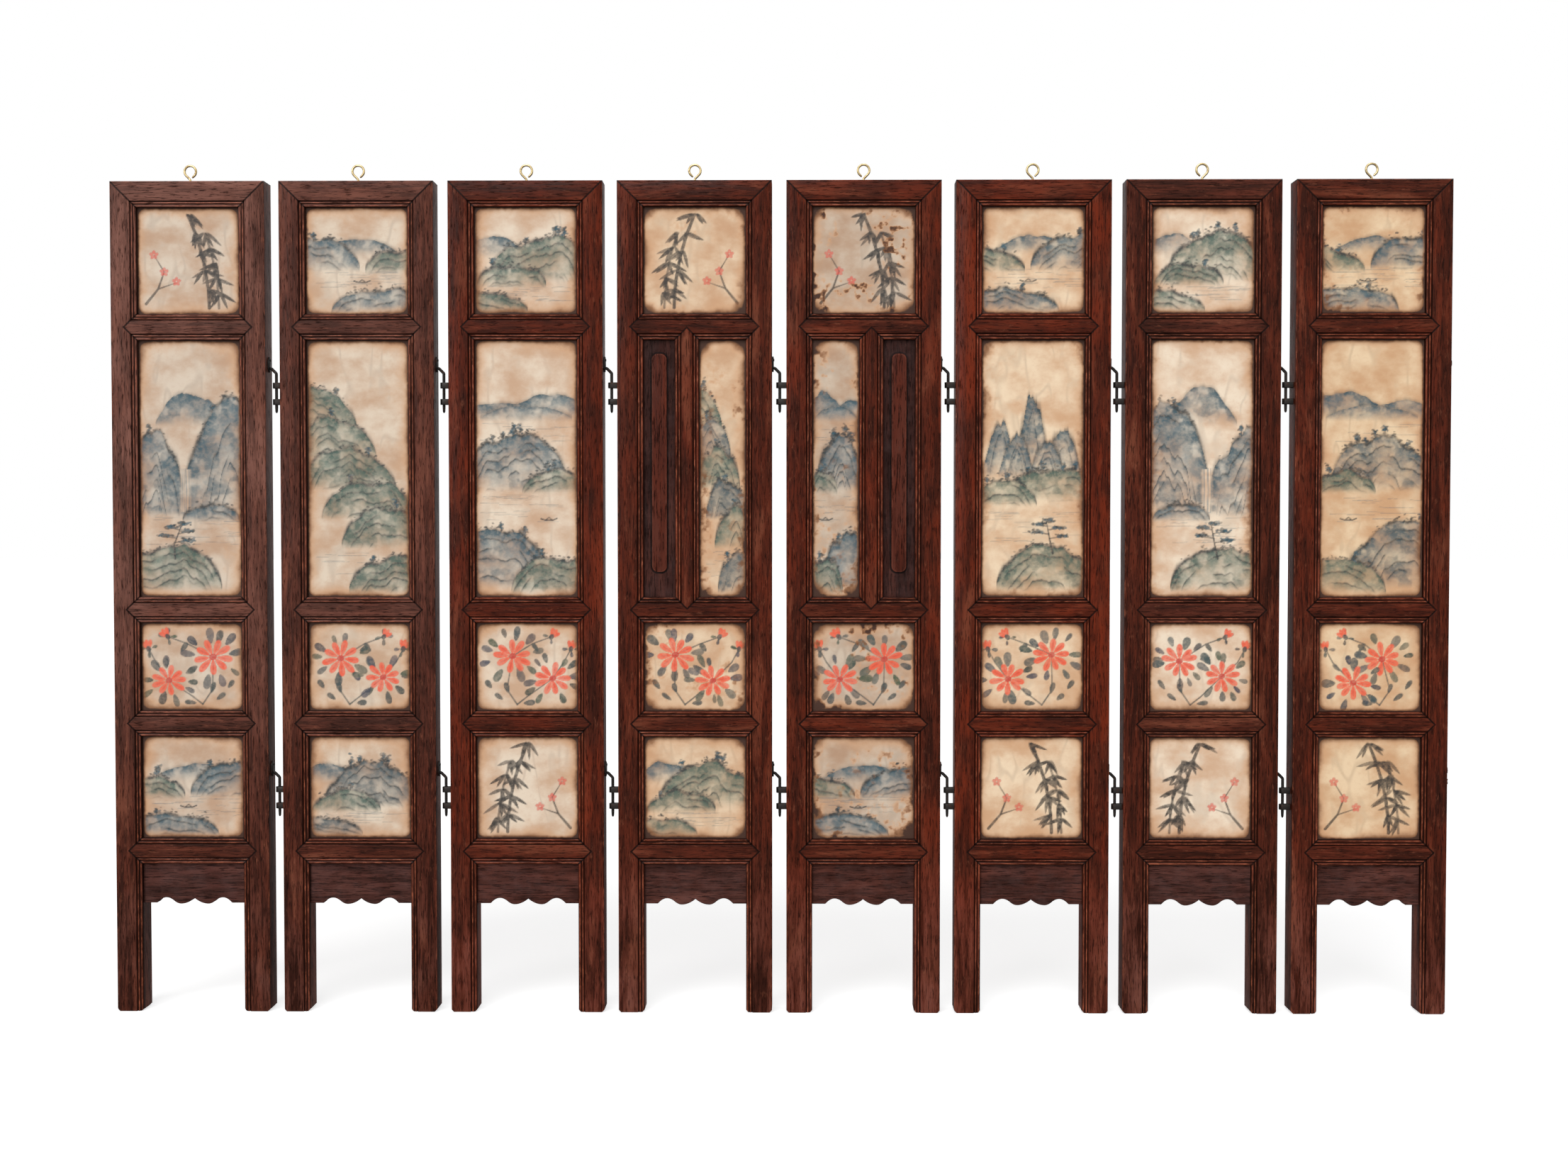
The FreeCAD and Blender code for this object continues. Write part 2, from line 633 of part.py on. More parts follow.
nodes = []
for panel in range(1, PANELS + 1):
    own_rails = [top_rail] + list(rails.values())
    own_plaques = list(plaques.values())
    if panel in SPLIT_PANELS:
        side = SPLIT_PANELS[panel]
        tag = f"split_{panel}"
        board_width = size("blind_opening")
        narrow_width = width - board_width - size("mullion_width")
        narrow_left = -HALF_OPENING if side > 0 else HALF_OPENING - narrow_width
        board_left = HALF_OPENING - board_width if side > 0 else -HALF_OPENING
        bar = (HALF_OPENING - board_width - size("mullion_width") / 2) * side
        own_rails[1] = make_cross_rail(f"{tag}_rail_one", CROSS_RAILS["rail_one"], -1, bar)
        own_rails[2] = make_cross_rail(f"{tag}_rail_two", CROSS_RAILS["rail_two"], 1, bar)
        own_plaques[1] = make_plaque(
            f"{tag}_plaque", narrow_left, OPENINGS["opening_tall"], narrow_width, size("opening_tall")
        )
        mullion = make_mullion(f"{tag}_bar", bar)
        board = make_blind_board(f"{tag}_board", board_left, board_width)
        nodes.append(place(f"panel_{panel}_mullion", [mullion], panel))
        nodes.append(place(f"panel_{panel}_blind_board", [board], panel))
    nodes.append(place(f"panel_{panel}_stiles", [left_stile, right_stile], panel))
    nodes.append(place(f"panel_{panel}_rails", own_rails, panel))
    nodes.append(place(f"panel_{panel}_plaques", own_plaques, panel))
    nodes.append(place(f"panel_{panel}_apron", [apron], panel))
    nodes.append(place(f"panel_{panel}_screw_eye", [eye], panel, turned=panel in EYES_TURNED))
    nodes.append(place(f"panel_{panel}_hinge_hooks", hooks if panel < PANELS else broken_hooks, panel))
    nodes.append(place(f"panel_{panel}_hinge_knuckles", knuckles if panel > 1 else flat_knuckles, panel))

doc.recompute()

faults = []
for thing in doc.Objects:
    if {"Invalid", "Error"} & set(thing.State):
        faults.append(f"{thing.Name}: {thing.State}")
for node in nodes:
    if node.Shape.isNull() or not node.Shape.isValid():
        faults.append(f"{node.Name}: bad shape")
if faults:
    raise RuntimeError("; ".join(faults))

os.makedirs("parts", exist_ok=True)
for node in nodes:
    node.Shape.exportStep(f"parts/{node.Label}.step")
    print(node.Label, len(node.Shape.Solids), "solids", round(node.Shape.Volume, 1), "mm3")
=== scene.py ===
# %% [markdown]
# # A folding table screen of eight panels
# The real object is a row of narrow hardwood frames, joined by iron hooks. Each frame holds four thin stone
# plaques with brush painting. The CAD model has every piece at its true size and place, so this lesson
# only adds what CAD leaves out: round edges, bent wire, brushwork, grain, wear and light.

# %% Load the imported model
import bmesh
import bpy
import math
import numpy as np
from mathutils import Matrix, Vector


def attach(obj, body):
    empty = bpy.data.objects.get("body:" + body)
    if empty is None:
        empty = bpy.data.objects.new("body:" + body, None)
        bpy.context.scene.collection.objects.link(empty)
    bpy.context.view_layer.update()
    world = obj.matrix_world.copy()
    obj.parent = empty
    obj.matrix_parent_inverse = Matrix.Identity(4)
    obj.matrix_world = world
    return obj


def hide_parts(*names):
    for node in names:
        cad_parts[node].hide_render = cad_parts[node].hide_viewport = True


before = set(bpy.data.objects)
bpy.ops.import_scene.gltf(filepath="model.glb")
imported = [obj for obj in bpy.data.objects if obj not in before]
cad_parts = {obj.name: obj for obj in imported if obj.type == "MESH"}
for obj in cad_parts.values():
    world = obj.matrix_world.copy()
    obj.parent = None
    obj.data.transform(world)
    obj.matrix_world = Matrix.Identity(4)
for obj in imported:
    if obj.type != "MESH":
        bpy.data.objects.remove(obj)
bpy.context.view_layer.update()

# %% [markdown]
# ## Camera
# A photograph fixes where its camera stood. Known points of the model, such as the frames' corners, were
# matched to their places in the picture, which gives this place, direction and lens. It stands about a metre
# in front of the middle of the row, and looks down by less than two degrees.

# %% Camera
MM = 0.001
CAMERA_PLACE = Vector((12.39, -1021.0, 270.89)) * MM
CAMERA_TURN = math.radians(0.544)
CAMERA_DIP = math.radians(1.648)

bpy.ops.object.select_all(action="DESELECT")
bpy.ops.object.camera_add(location=CAMERA_PLACE)
camera = bpy.context.object
look = Vector((
    -math.sin(CAMERA_TURN) * math.cos(CAMERA_DIP),
    math.cos(CAMERA_TURN) * math.cos(CAMERA_DIP),
    -math.sin(CAMERA_DIP),
))
camera.rotation_euler = look.to_track_quat("-Z", "Y").to_euler()
camera.data.lens = 41.22
camera.data.sensor_width = 36.0
camera.data.clip_start = 0.01
bpy.context.scene.camera = camera
print("camera looks along", [round(x, 4) for x in look])

# %% [markdown]
# ## A way to write shader maths
# A material is a graph of nodes. Wiring by hand hides the idea, so a small class holds a node's output and
# lets Python's own signs add the Math nodes: `1 - mask` then means what it says. Colours are mixed by the Mix
# node, because a Math node would turn them grey.

# %% Shader maths


class Value:
    """One output of a node, which Python's signs can reckon with."""

    def __init__(self, finish, socket):
        self.finish = finish
        self.socket = socket

    def maths(self, operation, *terms):
        return self.finish.node("ShaderNodeMath", {"operation": operation}, dict(enumerate(terms)))

    def __add__(self, other):
        return self.maths("ADD", self, other)

    def __radd__(self, other):
        return self.maths("ADD", other, self)

    def __sub__(self, other):
        return self.maths("SUBTRACT", self, other)

    def __rsub__(self, other):
        return self.maths("SUBTRACT", other, self)

    def __mul__(self, other):
        return self.maths("MULTIPLY", self, other)

    def __rmul__(self, other):
        return self.maths("MULTIPLY", other, self)

    def __truediv__(self, other):
        return self.maths("DIVIDE", self, other)

    def __abs__(self):
        return self.maths("ABSOLUTE", self)

    def least(self, other):
        return self.maths("MINIMUM", self, other)

    def most(self, other):
        return self.maths("MAXIMUM", self, other)

    def whole(self):
        return self.maths("FLOOR", self)

    def ease(self, start, end):
        """0 before start, 1 after end and a smooth step between them. start may be the larger one."""
        settings = {"interpolation_type": "SMOOTHSTEP"}
        if start > end:
            return 1 - self.ease(end, start)
        values = {"Value": self, "From Min": start, "From Max": end}
        return self.finish.node("ShaderNodeMapRange", settings, values)


class Finish:
    """A material with one Principled shader, and the few nodes that its patterns need."""

    def __init__(self, name, **plain):
        self.material = bpy.data.materials.new(name)
        self.material.use_nodes = True
        self.tree = self.material.node_tree
        self.tree.nodes.clear()
        values = {key.replace("_", " "): value for key, value in plain.items()}
        shader = self.node("ShaderNodeBsdfPrincipled", {}, values)
        self.inputs = shader.socket.node.inputs
        self.node("ShaderNodeOutputMaterial", {}, {"Surface": shader}, out=None)
        self.place = self.node("ShaderNodeTexCoord", {}, {}, out="Object")

    def node(self, kind, settings, values, out=0):
        made = self.tree.nodes.new(kind)
        for key, setting in settings.items():
            setattr(made, key, setting)
        for key, value in values.items():
            self.link(value, made.inputs[key])
        return None if out is None else Value(self, made.outputs[out])

    def link(self, value, socket):
        if isinstance(value, Value):
            self.tree.links.new(value.socket, socket)
        else:
            socket.default_value = value

    def set(self, name, value):
        self.link(value, self.inputs[name])

    def parts(self):
        """The place on the piece, as three values in millimetres."""
        made = self.node("ShaderNodeSeparateXYZ", {}, {"Vector": self.place})
        return [Value(self, made.socket.node.outputs[axis]) * (1 / MM) for axis in "XYZ"]

    def stretched(self, sizes):
        """The place, in patches of these sizes in millimetres along X, Y and Z."""
        scale = tuple(1 / (size * MM) for size in sizes)
        return self.node("ShaderNodeMapping", {}, {"Vector": self.place, "Scale": scale})

    def noise(self, sizes, detail=2.0, roughness=0.5, distortion=0.0):
        values = {
            "Vector": self.stretched(sizes),
            "Scale": 1.0,
            "Detail": detail,
            "Roughness": roughness,
            "Distortion": distortion,
        }
        return self.node("ShaderNodeTexNoise", {}, values)

    def mix(self, first, second, share, blend="MIX"):
        """A colour between two colours."""
        settings = {"data_type": "RGBA", "blend_type": blend}
        return self.node("ShaderNodeMix", settings, {0: share, 6: first, 7: second}, out=2)

    def attribute(self, name, out="Fac"):
        return self.node("ShaderNodeAttribute", {"attribute_name": name}, {}, out=out)

    def bump(self, height, depth, strength):
        """A normal that follows height, from 0 to 1, as deep as depth in millimetres."""
        values = {"Height": height, "Distance": depth * MM, "Strength": strength}
        return self.node("ShaderNodeBump", {}, values, out="Normal")


def shown(red, green, blue):
    """A colour as it looks on a screen, 0 to 255, turned into the light values that a shader takes."""
    values = [x / 255 for x in (red, green, blue)]
    return tuple(x / 12.92 if x <= 0.04045 else ((x + 0.055) / 1.055) ** 2.4 for x in values) + (1.0,)


def tinted(colour, *factors):
    """A colour whose red, green and blue light are each made stronger or weaker."""
    return tuple(light * factor for light, factor in zip(colour, factors)) + (1.0,)


print("a middle grey is", [round(x, 3) for x in shown(128, 128, 128)])

# %% [markdown]
# ## Floor, lamps and background
# The photograph shows white all round, with only a soft shadow at the feet. A sun lamp with a wide disc
# lights everything evenly, as a large soft box does, and it has no edge or fall-off on the floor. The white
# of the background comes from the world as the camera and reflections see it. The floor glows a little for
# the camera only, so that it ends in the same white.

# %% Floor and lamps
WHITE = (1.0, 1.0, 1.0, 1.0)
PAPER_GREY = (0.5, 0.5, 0.5, 1.0)
PAPER_GLOW = 0.66
WORLD_FILL = 0.42

bpy.ops.mesh.primitive_plane_add(size=40.0, location=(0.0, 0.0, 0.0))
floor = bpy.context.object
floor.name = "floor"

paper = Finish("floor_paper", Base_Color=PAPER_GREY, Roughness=0.9, Specular_IOR_Level=0.0)
paper.set("Emission Color", WHITE)
ray = paper.node("ShaderNodeLightPath", {}, {}, out="Is Camera Ray")
paper.set("Emission Strength", ray * PAPER_GLOW)
floor.data.materials.append(paper.material)


def lamp(name, direction, strength, angle):
    """A sun lamp that shines along direction."""
    bpy.ops.object.select_all(action="DESELECT")
    bpy.ops.object.light_add(type="SUN", location=(0.0, -1.0, 1.5))
    sun = bpy.context.object
    sun.name = name
    sun.rotation_euler = Vector(direction).to_track_quat("-Z", "Y").to_euler()
    sun.data.energy = strength
    sun.data.angle = math.radians(angle)


lamp("front_lamp", (0.2, 0.75, -0.8), 1.9, 35.0)
lamp("left_lamp", (0.48, 0.86, -0.22), 0.75, 22.0)
lamp("back_lamp", (-0.35, -0.8, -0.9), 0.45, 50.0)

world = bpy.data.worlds.new("studio")
bpy.context.scene.world = world
world.use_nodes = True
sky = world.node_tree
sky.nodes.clear()
rays = sky.nodes.new("ShaderNodeLightPath")
shows_white = rays.outputs["Is Camera Ray"]
for kind in ("Is Glossy Ray", "Is Transmission Ray"):
    either = sky.nodes.new("ShaderNodeMath")
    either.operation = "MAXIMUM"
    sky.links.new(shows_white, either.inputs[0])
    sky.links.new(rays.outputs[kind], either.inputs[1])
    shows_white = either.outputs[0]
strength = sky.nodes.new("ShaderNodeMapRange")
strength.inputs["To Min"].default_value = WORLD_FILL
sky.links.new(shows_white, strength.inputs["Value"])
backdrop = sky.nodes.new("ShaderNodeBackground")
backdrop.inputs["Color"].default_value = WHITE
sky.links.new(strength.outputs[0], backdrop.inputs["Strength"])
sky.links.new(backdrop.outputs[0], sky.nodes.new("ShaderNodeOutputWorld").inputs["Surface"])
bpy.context.scene.view_settings.view_transform = "Standard"

# %% [markdown]
# ## Sizes of the frame
# The shaders and the brushwork need a few of the sizes that the frame was built to, in millimetres: where the
# openings are, how wide a rail is, how the panels repeat along the row, and where the moulding's crests and
# hollows run, counted from the opening's edge.

# %% Sizes
PANELS = range(1, 9)
PITCH = 95.4
HALF_PANEL = 43.6
HALF_OPENING = 28.9
HALF_RAIL = 7.35
FRAME_WIDTH = 2 * HALF_RAIL
CRESTS = (0.8, 2.5)
HOLLOWS = (1.8, 3.3)
HALF_DEPTH = 7.0
TOP = 471.0
HEAD = 456.3
RAIL_MIDDLES = (388.95, 229.25, 164.55, 91.85)
OPENINGS = {"top": (396.3, 60.0), "tall": (236.6, 145.0), "flowers": (171.9, 50.0), "low": (99.2, 58.0)}
PLAQUE_FRONT = -4.4
PLAQUE_BACK = 1.4
LAP = 2.2
SPLIT_SIDE = {4: -1, 5: 1}
MULLION_OFFSET = 4.3
HALF_MULLION = 6.8
BAR_FROM_ROW_MIDDLE = PITCH / 2 + MULLION_OFFSET
TALL_FOOT, TALL_HEIGHT = OPENINGS["tall"]
NARROW_WIDTH = 26.4
BLIND_WIDTH = 2 * (HALF_OPENING - HALF_MULLION) - NARROW_WIDTH
STRIP_SIDE, STRIP_HEAD, STRIP_FOOT, STRIP_CORNER = 4.6, 7.6, 14.0, 3.4
STRIP_FROM_ROW_MIDDLE = PITCH / 2 + HALF_OPENING - BLIND_WIDTH / 2
HALF_STRIP = BLIND_WIDTH / 2 - STRIP_SIDE
HALF_STRIP_TALL = (TALL_HEIGHT - STRIP_HEAD - STRIP_FOOT) / 2
STRIP_MIDDLE = TALL_FOOT + STRIP_FOOT + HALF_STRIP_TALL


def middle_of(panel):
    return PITCH * (panel - 4.5)


print("panel middles", [round(middle_of(panel), 1) for panel in PANELS])

# %% [markdown]
# ## Hand tools
# Every new shape starts from a primitive and is then worked in edit mode, as by hand. Operators act on all
# that is selected, so each helper first selects what it is about. Edges are picked by their place.

# %% Modelling helpers
WELD = 0.000002


def take(piece):
    """Select this piece alone."""
    bpy.ops.object.select_all(action="DESELECT")
    piece.select_set(True)
    bpy.context.view_layer.objects.active = piece


def edit(piece):
    take(piece)
    bpy.ops.object.mode_set(mode="EDIT")
    bpy.ops.mesh.select_all(action="SELECT")


def leave():
    bpy.ops.object.mode_set(mode="OBJECT")


def settle(piece, name):
    """Name a piece and put its place, turn and scale into its mesh."""
    take(piece)
    piece.name = name
    piece.data.name = name
    bpy.ops.object.transform_apply(location=True, rotation=True, scale=True)
    return piece


def tidy(piece):
    """Merge doubles and point all faces outwards."""
    edit(piece)
    bpy.ops.mesh.remove_doubles(threshold=WELD)
    bpy.ops.mesh.normals_make_consistent(inside=False)
    leave()
    return piece


def pick_edges(wanted):
    """In edit mode, select the edges for which wanted is true."""
    mesh = bmesh.from_edit_mesh(bpy.context.object.data)
    bpy.ops.mesh.select_all(action="DESELECT")
    mesh.select_mode = {"EDGE"}
    found = 0
    for edge in mesh.edges:
        if wanted(edge):
            edge.select_set(True)
            found += 1
    mesh.select_flush_mode()
    bmesh.update_edit_mesh(bpy.context.object.data)
    return found


def extrude(step):
    bpy.ops.mesh.extrude_region_move(TRANSFORM_OT_translate={"value": Vector(step) * MM})


def copy_of(source, name, shift=0.0):
    """A copy with its own mesh, moved along the row."""
    mesh = source.data.copy()
    mesh.name = name
    mesh.transform(Matrix.Translation((shift * MM, 0.0, 0.0)))
    piece = bpy.data.objects.new(name, mesh)
    bpy.context.collection.objects.link(piece)
    return piece


def apply_modifiers(piece):
    take(piece)
    for modifier in list(piece.modifiers):
        bpy.ops.object.modifier_apply(modifier=modifier.name)


def round_edges(piece, width, segments, **limits):
    """Round edges with a Bevel modifier, whose limits say which."""
    bevel = piece.modifiers.new("rounding", "BEVEL")
    bevel.width = width * MM
    bevel.segments = segments
    for key, limit in limits.items():
        setattr(bevel, key, limit)
    apply_modifiers(piece)


def shade(piece, degrees):
    """Smooth shading, apart from edges sharper than this angle."""
    take(piece)
    bpy.ops.object.shade_smooth_by_angle(angle=math.radians(degrees))


def join(pieces, name):
    """Make one piece of several."""
    bpy.ops.object.select_all(action="DESELECT")
    for piece in pieces:
        piece.select_set(True)
    bpy.context.view_layer.objects.active = pieces[0]
    bpy.ops.object.join()
    return settle(pieces[0], name)


def report(pieces):
    pieces = list(pieces)
    faces = sum(len(piece.data.polygons) for piece in pieces)
    print(len(pieces), "pieces,", faces, "faces:", ", ".join(piece.name for piece in pieces[:3]), "...")


print("openings", list(OPENINGS))

# %% [markdown]
# ## Hardwood
# The frames are a dark red-brown wood with fine pores, waxed for a long time. Grain follows the length of
# each piece, so there is one finish for uprights and one for rails, made by the same function with its long
# patches turned. The crests of the moulding are paler, as wear and painted highlight, and its hollows are
# painted almost black, as dirt and painted shade: both follow one value that each vertex carries, the distance
# from the opening's edge. Where two pieces meet, a thin dark line shows. The feet are scuffed paler, and on
# the least red panels the upper part is painted paler and greyer, a painted sheen.

# %% Wood finish
LINE_EDGE = (0.85, 0.4)


def joint_lines(wood):
    """1 on the thin lines where rails meet stiles: mitres at the head, pointed shoulders below."""
    x, y, z = wood.parts()
    local = x / PITCH
    aside = abs(local - local.whole() - 0.5) * PITCH
    from_rail = abs(z - RAIL_MIDDLES[0])
    for middle in RAIL_MIDDLES[1:]:
        from_rail = from_rail.least(abs(z - middle))
    shoulder = abs(aside + from_rail - (HALF_OPENING + HALF_RAIL))
    mitre = abs((z - HEAD) - (aside - HALF_OPENING))
    butt = abs(aside - HALF_OPENING) + from_rail.ease(HALF_RAIL - 0.1, HALF_RAIL + 0.1)
    front = y.ease(-4.2, -4.6)
    below_head = z.ease(HEAD - 1.0, HEAD - 2.0)
    beyond = aside.ease(HALF_OPENING - 0.4, HALF_OPENING - 0.1)
    near = from_rail.ease(HALF_RAIL + 0.3, HALF_RAIL)
    lines = shoulder.ease(*LINE_EDGE) * front * near * below_head
    lines = lines.most(mitre.ease(*LINE_EDGE) * (1 - below_head))
    lines = lines.most(butt.ease(0.45, 0.12) * (1 - front) * near * below_head)
    lines = lines * beyond
    from_bar = abs(abs(x) - BAR_FROM_ROW_MIDDLE)
    past_edge = (z - (TALL_FOOT + TALL_HEIGHT)).most(TALL_FOOT - z)
    tip = abs(from_bar + past_edge - HALF_MULLION).ease(*LINE_EDGE) * past_edge.ease(-0.1, 0.1)
    return lines.most(tip * front * from_bar.ease(HALF_MULLION + 0.3, HALF_MULLION))


def from_strip(wood):
    """Distance outwards from the outline of a blind board's raised strip."""
    x, y, z = wood.parts()
    aside = (abs(abs(x) - STRIP_FROM_ROW_MIDDLE) - (HALF_STRIP - STRIP_CORNER)).most(0.0)
    above = (abs(z - STRIP_MIDDLE) - (HALF_STRIP_TALL - STRIP_CORNER)).most(0.0)
    squares = aside * aside + above * above
    return squares.maths("SQRT", squares) - STRIP_CORNER


def make_wood(name, along, dark, middle, pale, wax=0.4, joints=True, dull=0.0, raised=None):
    """The grain follows axis 0 or 2. dull is a share of dust, and raised the colour of a board's strip."""
    wood = Finish(name, Specular_IOR_Level=0.05, Coat_Roughness=0.3)

    def patches(across, length):
        sizes = [across, across, across]
        sizes[along] = length
        return sizes

    streaks = wood.noise(patches(2.2, 30.0), detail=5.0, roughness=0.7, distortion=0.5)
    bands = wood.noise(patches(8.0, 70.0), detail=3.0, roughness=0.55, distortion=0.5)
    pores = wood.noise(patches(0.7, 7.5), detail=3.0, roughness=0.65)
    patch = wood.noise((24.0, 24.0, 30.0), detail=3.0)
    scuffs = wood.noise(patches(2.2, 7.0), detail=4.0, roughness=0.7)
    redness = wood.attribute("redness")

    tone = (streaks * 0.6 + bands * 0.4).ease(0.4, 0.62)
    uneven = patch.ease(0.35, 0.65)
    colour = wood.mix(dark, middle, tone)
    if raised:
        away = from_strip(wood)
        on_front = wood.parts()[1].ease(-4.0, -4.3)
        on_strip = away.ease(0.1, -0.1) * on_front
        colour = wood.mix(colour, raised, on_strip * (0.35 + 0.65 * tone))
    pale_share = bands.ease(0.52, 0.7) * 0.5 * tone + scuffs.ease(0.56, 0.72) * 0.42
    colour = wood.mix(colour, pale, pale_share)
    warm = tinted(middle, 1.75, 1.05, 0.6)
    colour = wood.mix(colour, warm, redness * (0.2 + 0.7 * uneven) * (0.3 + 0.7 * tone))
    up = wood.parts()[2]
    scuffed_foot = up.ease(110.0, 15.0) * (0.1 + 0.4 * uneven) * tone
    colour = wood.mix(colour, shown(120, 80, 70), scuffed_foot)
    # A painted sheen: on the least red panels the upper part is mixed towards a paler, greyer colour.
    sheen_colour = tinted(pale, 1.05, 1.4, 1.95)
    sheen_share = redness.ease(0.16, 0.0) * up.ease(60.0, 260.0)
    colour = wood.mix(colour, sheen_colour, sheen_share * (0.5 + 0.4 * uneven) * (0.42 + 0.58 * tone))

    reach = wood.attribute("reach")
    crest = abs(reach - CRESTS[0]).ease(0.55, 0.1).most(abs(reach - CRESTS[1]).ease(0.5, 0.1))
    hollow = abs(reach - HOLLOWS[0]).ease(0.5, 0.1).most(abs(reach - HOLLOWS[1]).ease(0.55, 0.1))
    hollow = hollow.most(reach.ease(0.5, 0.0))
    edge = abs(reach - FRAME_WIDTH).ease(0.7, 0.1)
    # Paler on the crests of the moulding and along the outer arris: wear and painted highlight.
    wear_and_highlight = crest * (0.1 + 0.6 * scuffs.ease(0.44, 0.68)) + edge * 0.5 * scuffs.ease(0.42, 0.65)
    worn_and_lit = tinted(pale, 1.9, 1.55, 1.3)
    colour = wood.mix(colour, worn_and_lit, wear_and_highlight.least(0.85))
    # A near-black: in the hollows and at the opening's edge it is dirt and painted shade; it also darkens pores and
    # joint lines.
    soot_and_shade = tinted(dark, 0.28, 0.28, 0.28)
    colour = wood.mix(colour, soot_and_shade, hollow * 0.92)
    if raised:
        # Just inside the raised strip's edge, paler: wear and painted highlight.
        strip_wear_and_highlight = abs(away + 0.5).ease(0.45, 0.15) * (0.15 + 0.4 * scuffs.ease(0.4, 0.66))
        colour = wood.mix(colour, worn_and_lit, strip_wear_and_highlight * on_front)
        # Just outside the foot of the raised strip, a dark ring: painted shade.
        colour = wood.mix(colour, soot_and_shade, abs(away - 0.4).ease(0.75, 0.3) * on_front * 0.9)
    colour = wood.mix(colour, soot_and_shade, pores.ease(0.52, 0.64) * 0.75)
    if joints:
        seams = joint_lines(wood)
        lines = seams * (0.75 + 0.25 * scuffs.ease(0.3, 0.6))
        colour = wood.mix(colour, soot_and_shade, lines * 0.97)
    if dull:
        dust = wood.noise((9.0, 9.0, 7.0), detail=5.0, roughness=0.65).ease(0.35, 0.8) * dull
        if raised:
            dust = dust * (1 - on_strip)
        colour = wood.mix(colour, shown(118, 92, 90), dust)
    wood.set("Base Color", colour)
    rough = wax + 0.16 * streaks.ease(0.3, 0.7) + 0.25 * pores.ease(0.57, 0.72) + 0.12 * hollow - 0.12 * wear_and_highlight
    wood.set("Roughness", rough.least(0.9))
    wood.set("Coat Weight", ((0.06 + 0.35 * wear_and_highlight) * (1 - pores.ease(0.52, 0.64)) * (1 - hollow)).most(0.0))
    height = streaks * 0.8 - pores.ease(0.53, 0.68) * 0.9
    if joints:
        height = height - seams * 1.5
    wood.set("Normal", wood.bump(height, 0.14, 0.8))
    return wood.material


DARK_WOOD = shown(42, 17, 9)
RED_BROWN = shown(84, 36, 22)
PALE_WOOD = shown(124, 72, 52)
STRIP_WOOD = shown(90, 38, 24)
APRON_TONES = (shown(50, 27, 22), shown(76, 42, 36), shown(98, 60, 52))
BOARD_TONES = (shown(34, 17, 14), shown(54, 28, 24), shown(84, 50, 42))
upright_wood = make_wood("upright_wood", 2, DARK_WOOD, RED_BROWN, PALE_WOOD)
across_wood = make_wood("across_wood", 0, DARK_WOOD, RED_BROWN, PALE_WOOD)
apron_wood = make_wood("apron_wood", 0, *APRON_TONES, wax=0.55, joints=False, dull=0.16)
board_wood = make_wood("board_wood", 2, *BOARD_TONES, wax=0.5, joints=False, dull=0.12, raised=STRIP_WOOD)
print("wood finishes", upright_wood.name, across_wood.name, apron_wood.name, board_wood.name)

# %% [markdown]
# ## Frames with softened edges
# Planed and handled wood has no sharp edges, and a bead is round, not a ridge. The CAD pieces are right in size,
# so each is copied, its loose triangles are merged into clean faces, and a Bevel modifier rounds chosen edges:
# much on the crests of the moulding and along the outer arris, less in its hollows, and not at the joints, which
# have to stay tight. Each edge's share of the bevel is its bevel weight.

# %% Frame pieces
ROUNDING = 0.5
MOULDING_BACK = -4.0
NO_MOULDING = 99.0
# How red each panel's wood is. Below about 0.16 the upper part also gets a painted sheen, paler and greyer.
REDNESS = {1: 0.0, 2: 0.09, 3: 0.9, 4: 0.42, 5: 0.75, 6: 1.0, 7: 0.18, 8: 0.5}


def edge_share(reach, depth, outer):
    """How much an edge is rounded, by its distance from the opening and its depth below the front face."""
    if depth < 1.0:
        if min(abs(reach - crest) for crest in CRESTS) < 0.1:
            return 0.9
        return 0.4 if reach < 4.0 else 0.9
    if depth > 2 * HALF_DEPTH - 0.1:
        return 0.9 if abs(reach - outer) < 0.2 else 0.5
    return 0.0


def soften(piece, along, reach_of, outer):
    """Round the long edges of a frame piece."""
    edit(piece)
    mesh = bmesh.from_edit_mesh(piece.data)
    layer = mesh.edges.layers.float.new("bevel_weight_edge")
    for edge in mesh.edges:
        first, last = (vertex.co / MM for vertex in edge.verts)
        step = last - first
        if not edge.is_manifold or abs(step[along]) < 0.98 * step.length:
            continue
        if edge.calc_face_angle(0.0) < math.radians(12):
            continue
        middle = (first + last) / 2
        edge[layer] = edge_share(reach_of(middle), middle.y + HALF_DEPTH, outer)
    bmesh.update_edit_mesh(piece.data)
    leave()
    round_edges(piece, ROUNDING, 3, limit_method="WEIGHT", use_clamp_overlap=False)
    shade(piece, 38)


def mark(piece, reach_of, redness):
    """Store at each vertex how far the opening's edge is, on the moulding, and how red the piece is."""
    places = [vertex.co / MM for vertex in piece.data.vertices]
    reaches = [float(reach_of(place)) if place.y < MOULDING_BACK else NO_MOULDING for place in places]
    reach = piece.data.attributes.new("reach", "FLOAT", "POINT")
    reach.data.foreach_set("value", reaches)
    red = piece.data.attributes.new("redness", "FLOAT", "POINT")
    red.data.foreach_set("value", [redness] * len(places))


def no_moulding(place):
    return NO_MOULDING


def clean_copy(node, name, material):
    """A CAD node's mesh as one piece of clean faces."""
    piece = copy_of(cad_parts[node], name)
    piece.data.materials.clear()
    piece.data.materials.append(material)
    edit(piece)
    bpy.ops.mesh.customdata_custom_splitnormals_clear()
    bpy.ops.mesh.remove_doubles(threshold=WELD)
    bpy.ops.mesh.dissolve_limited(angle_limit=math.radians(0.5))
    bpy.ops.mesh.normals_make_consistent(inside=False)
    leave()
    return piece


def hand_over(piece, panel, slot, *nodes):
    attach(piece, f"panel_{panel}")
    if nodes:
        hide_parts(*nodes)
    return piece


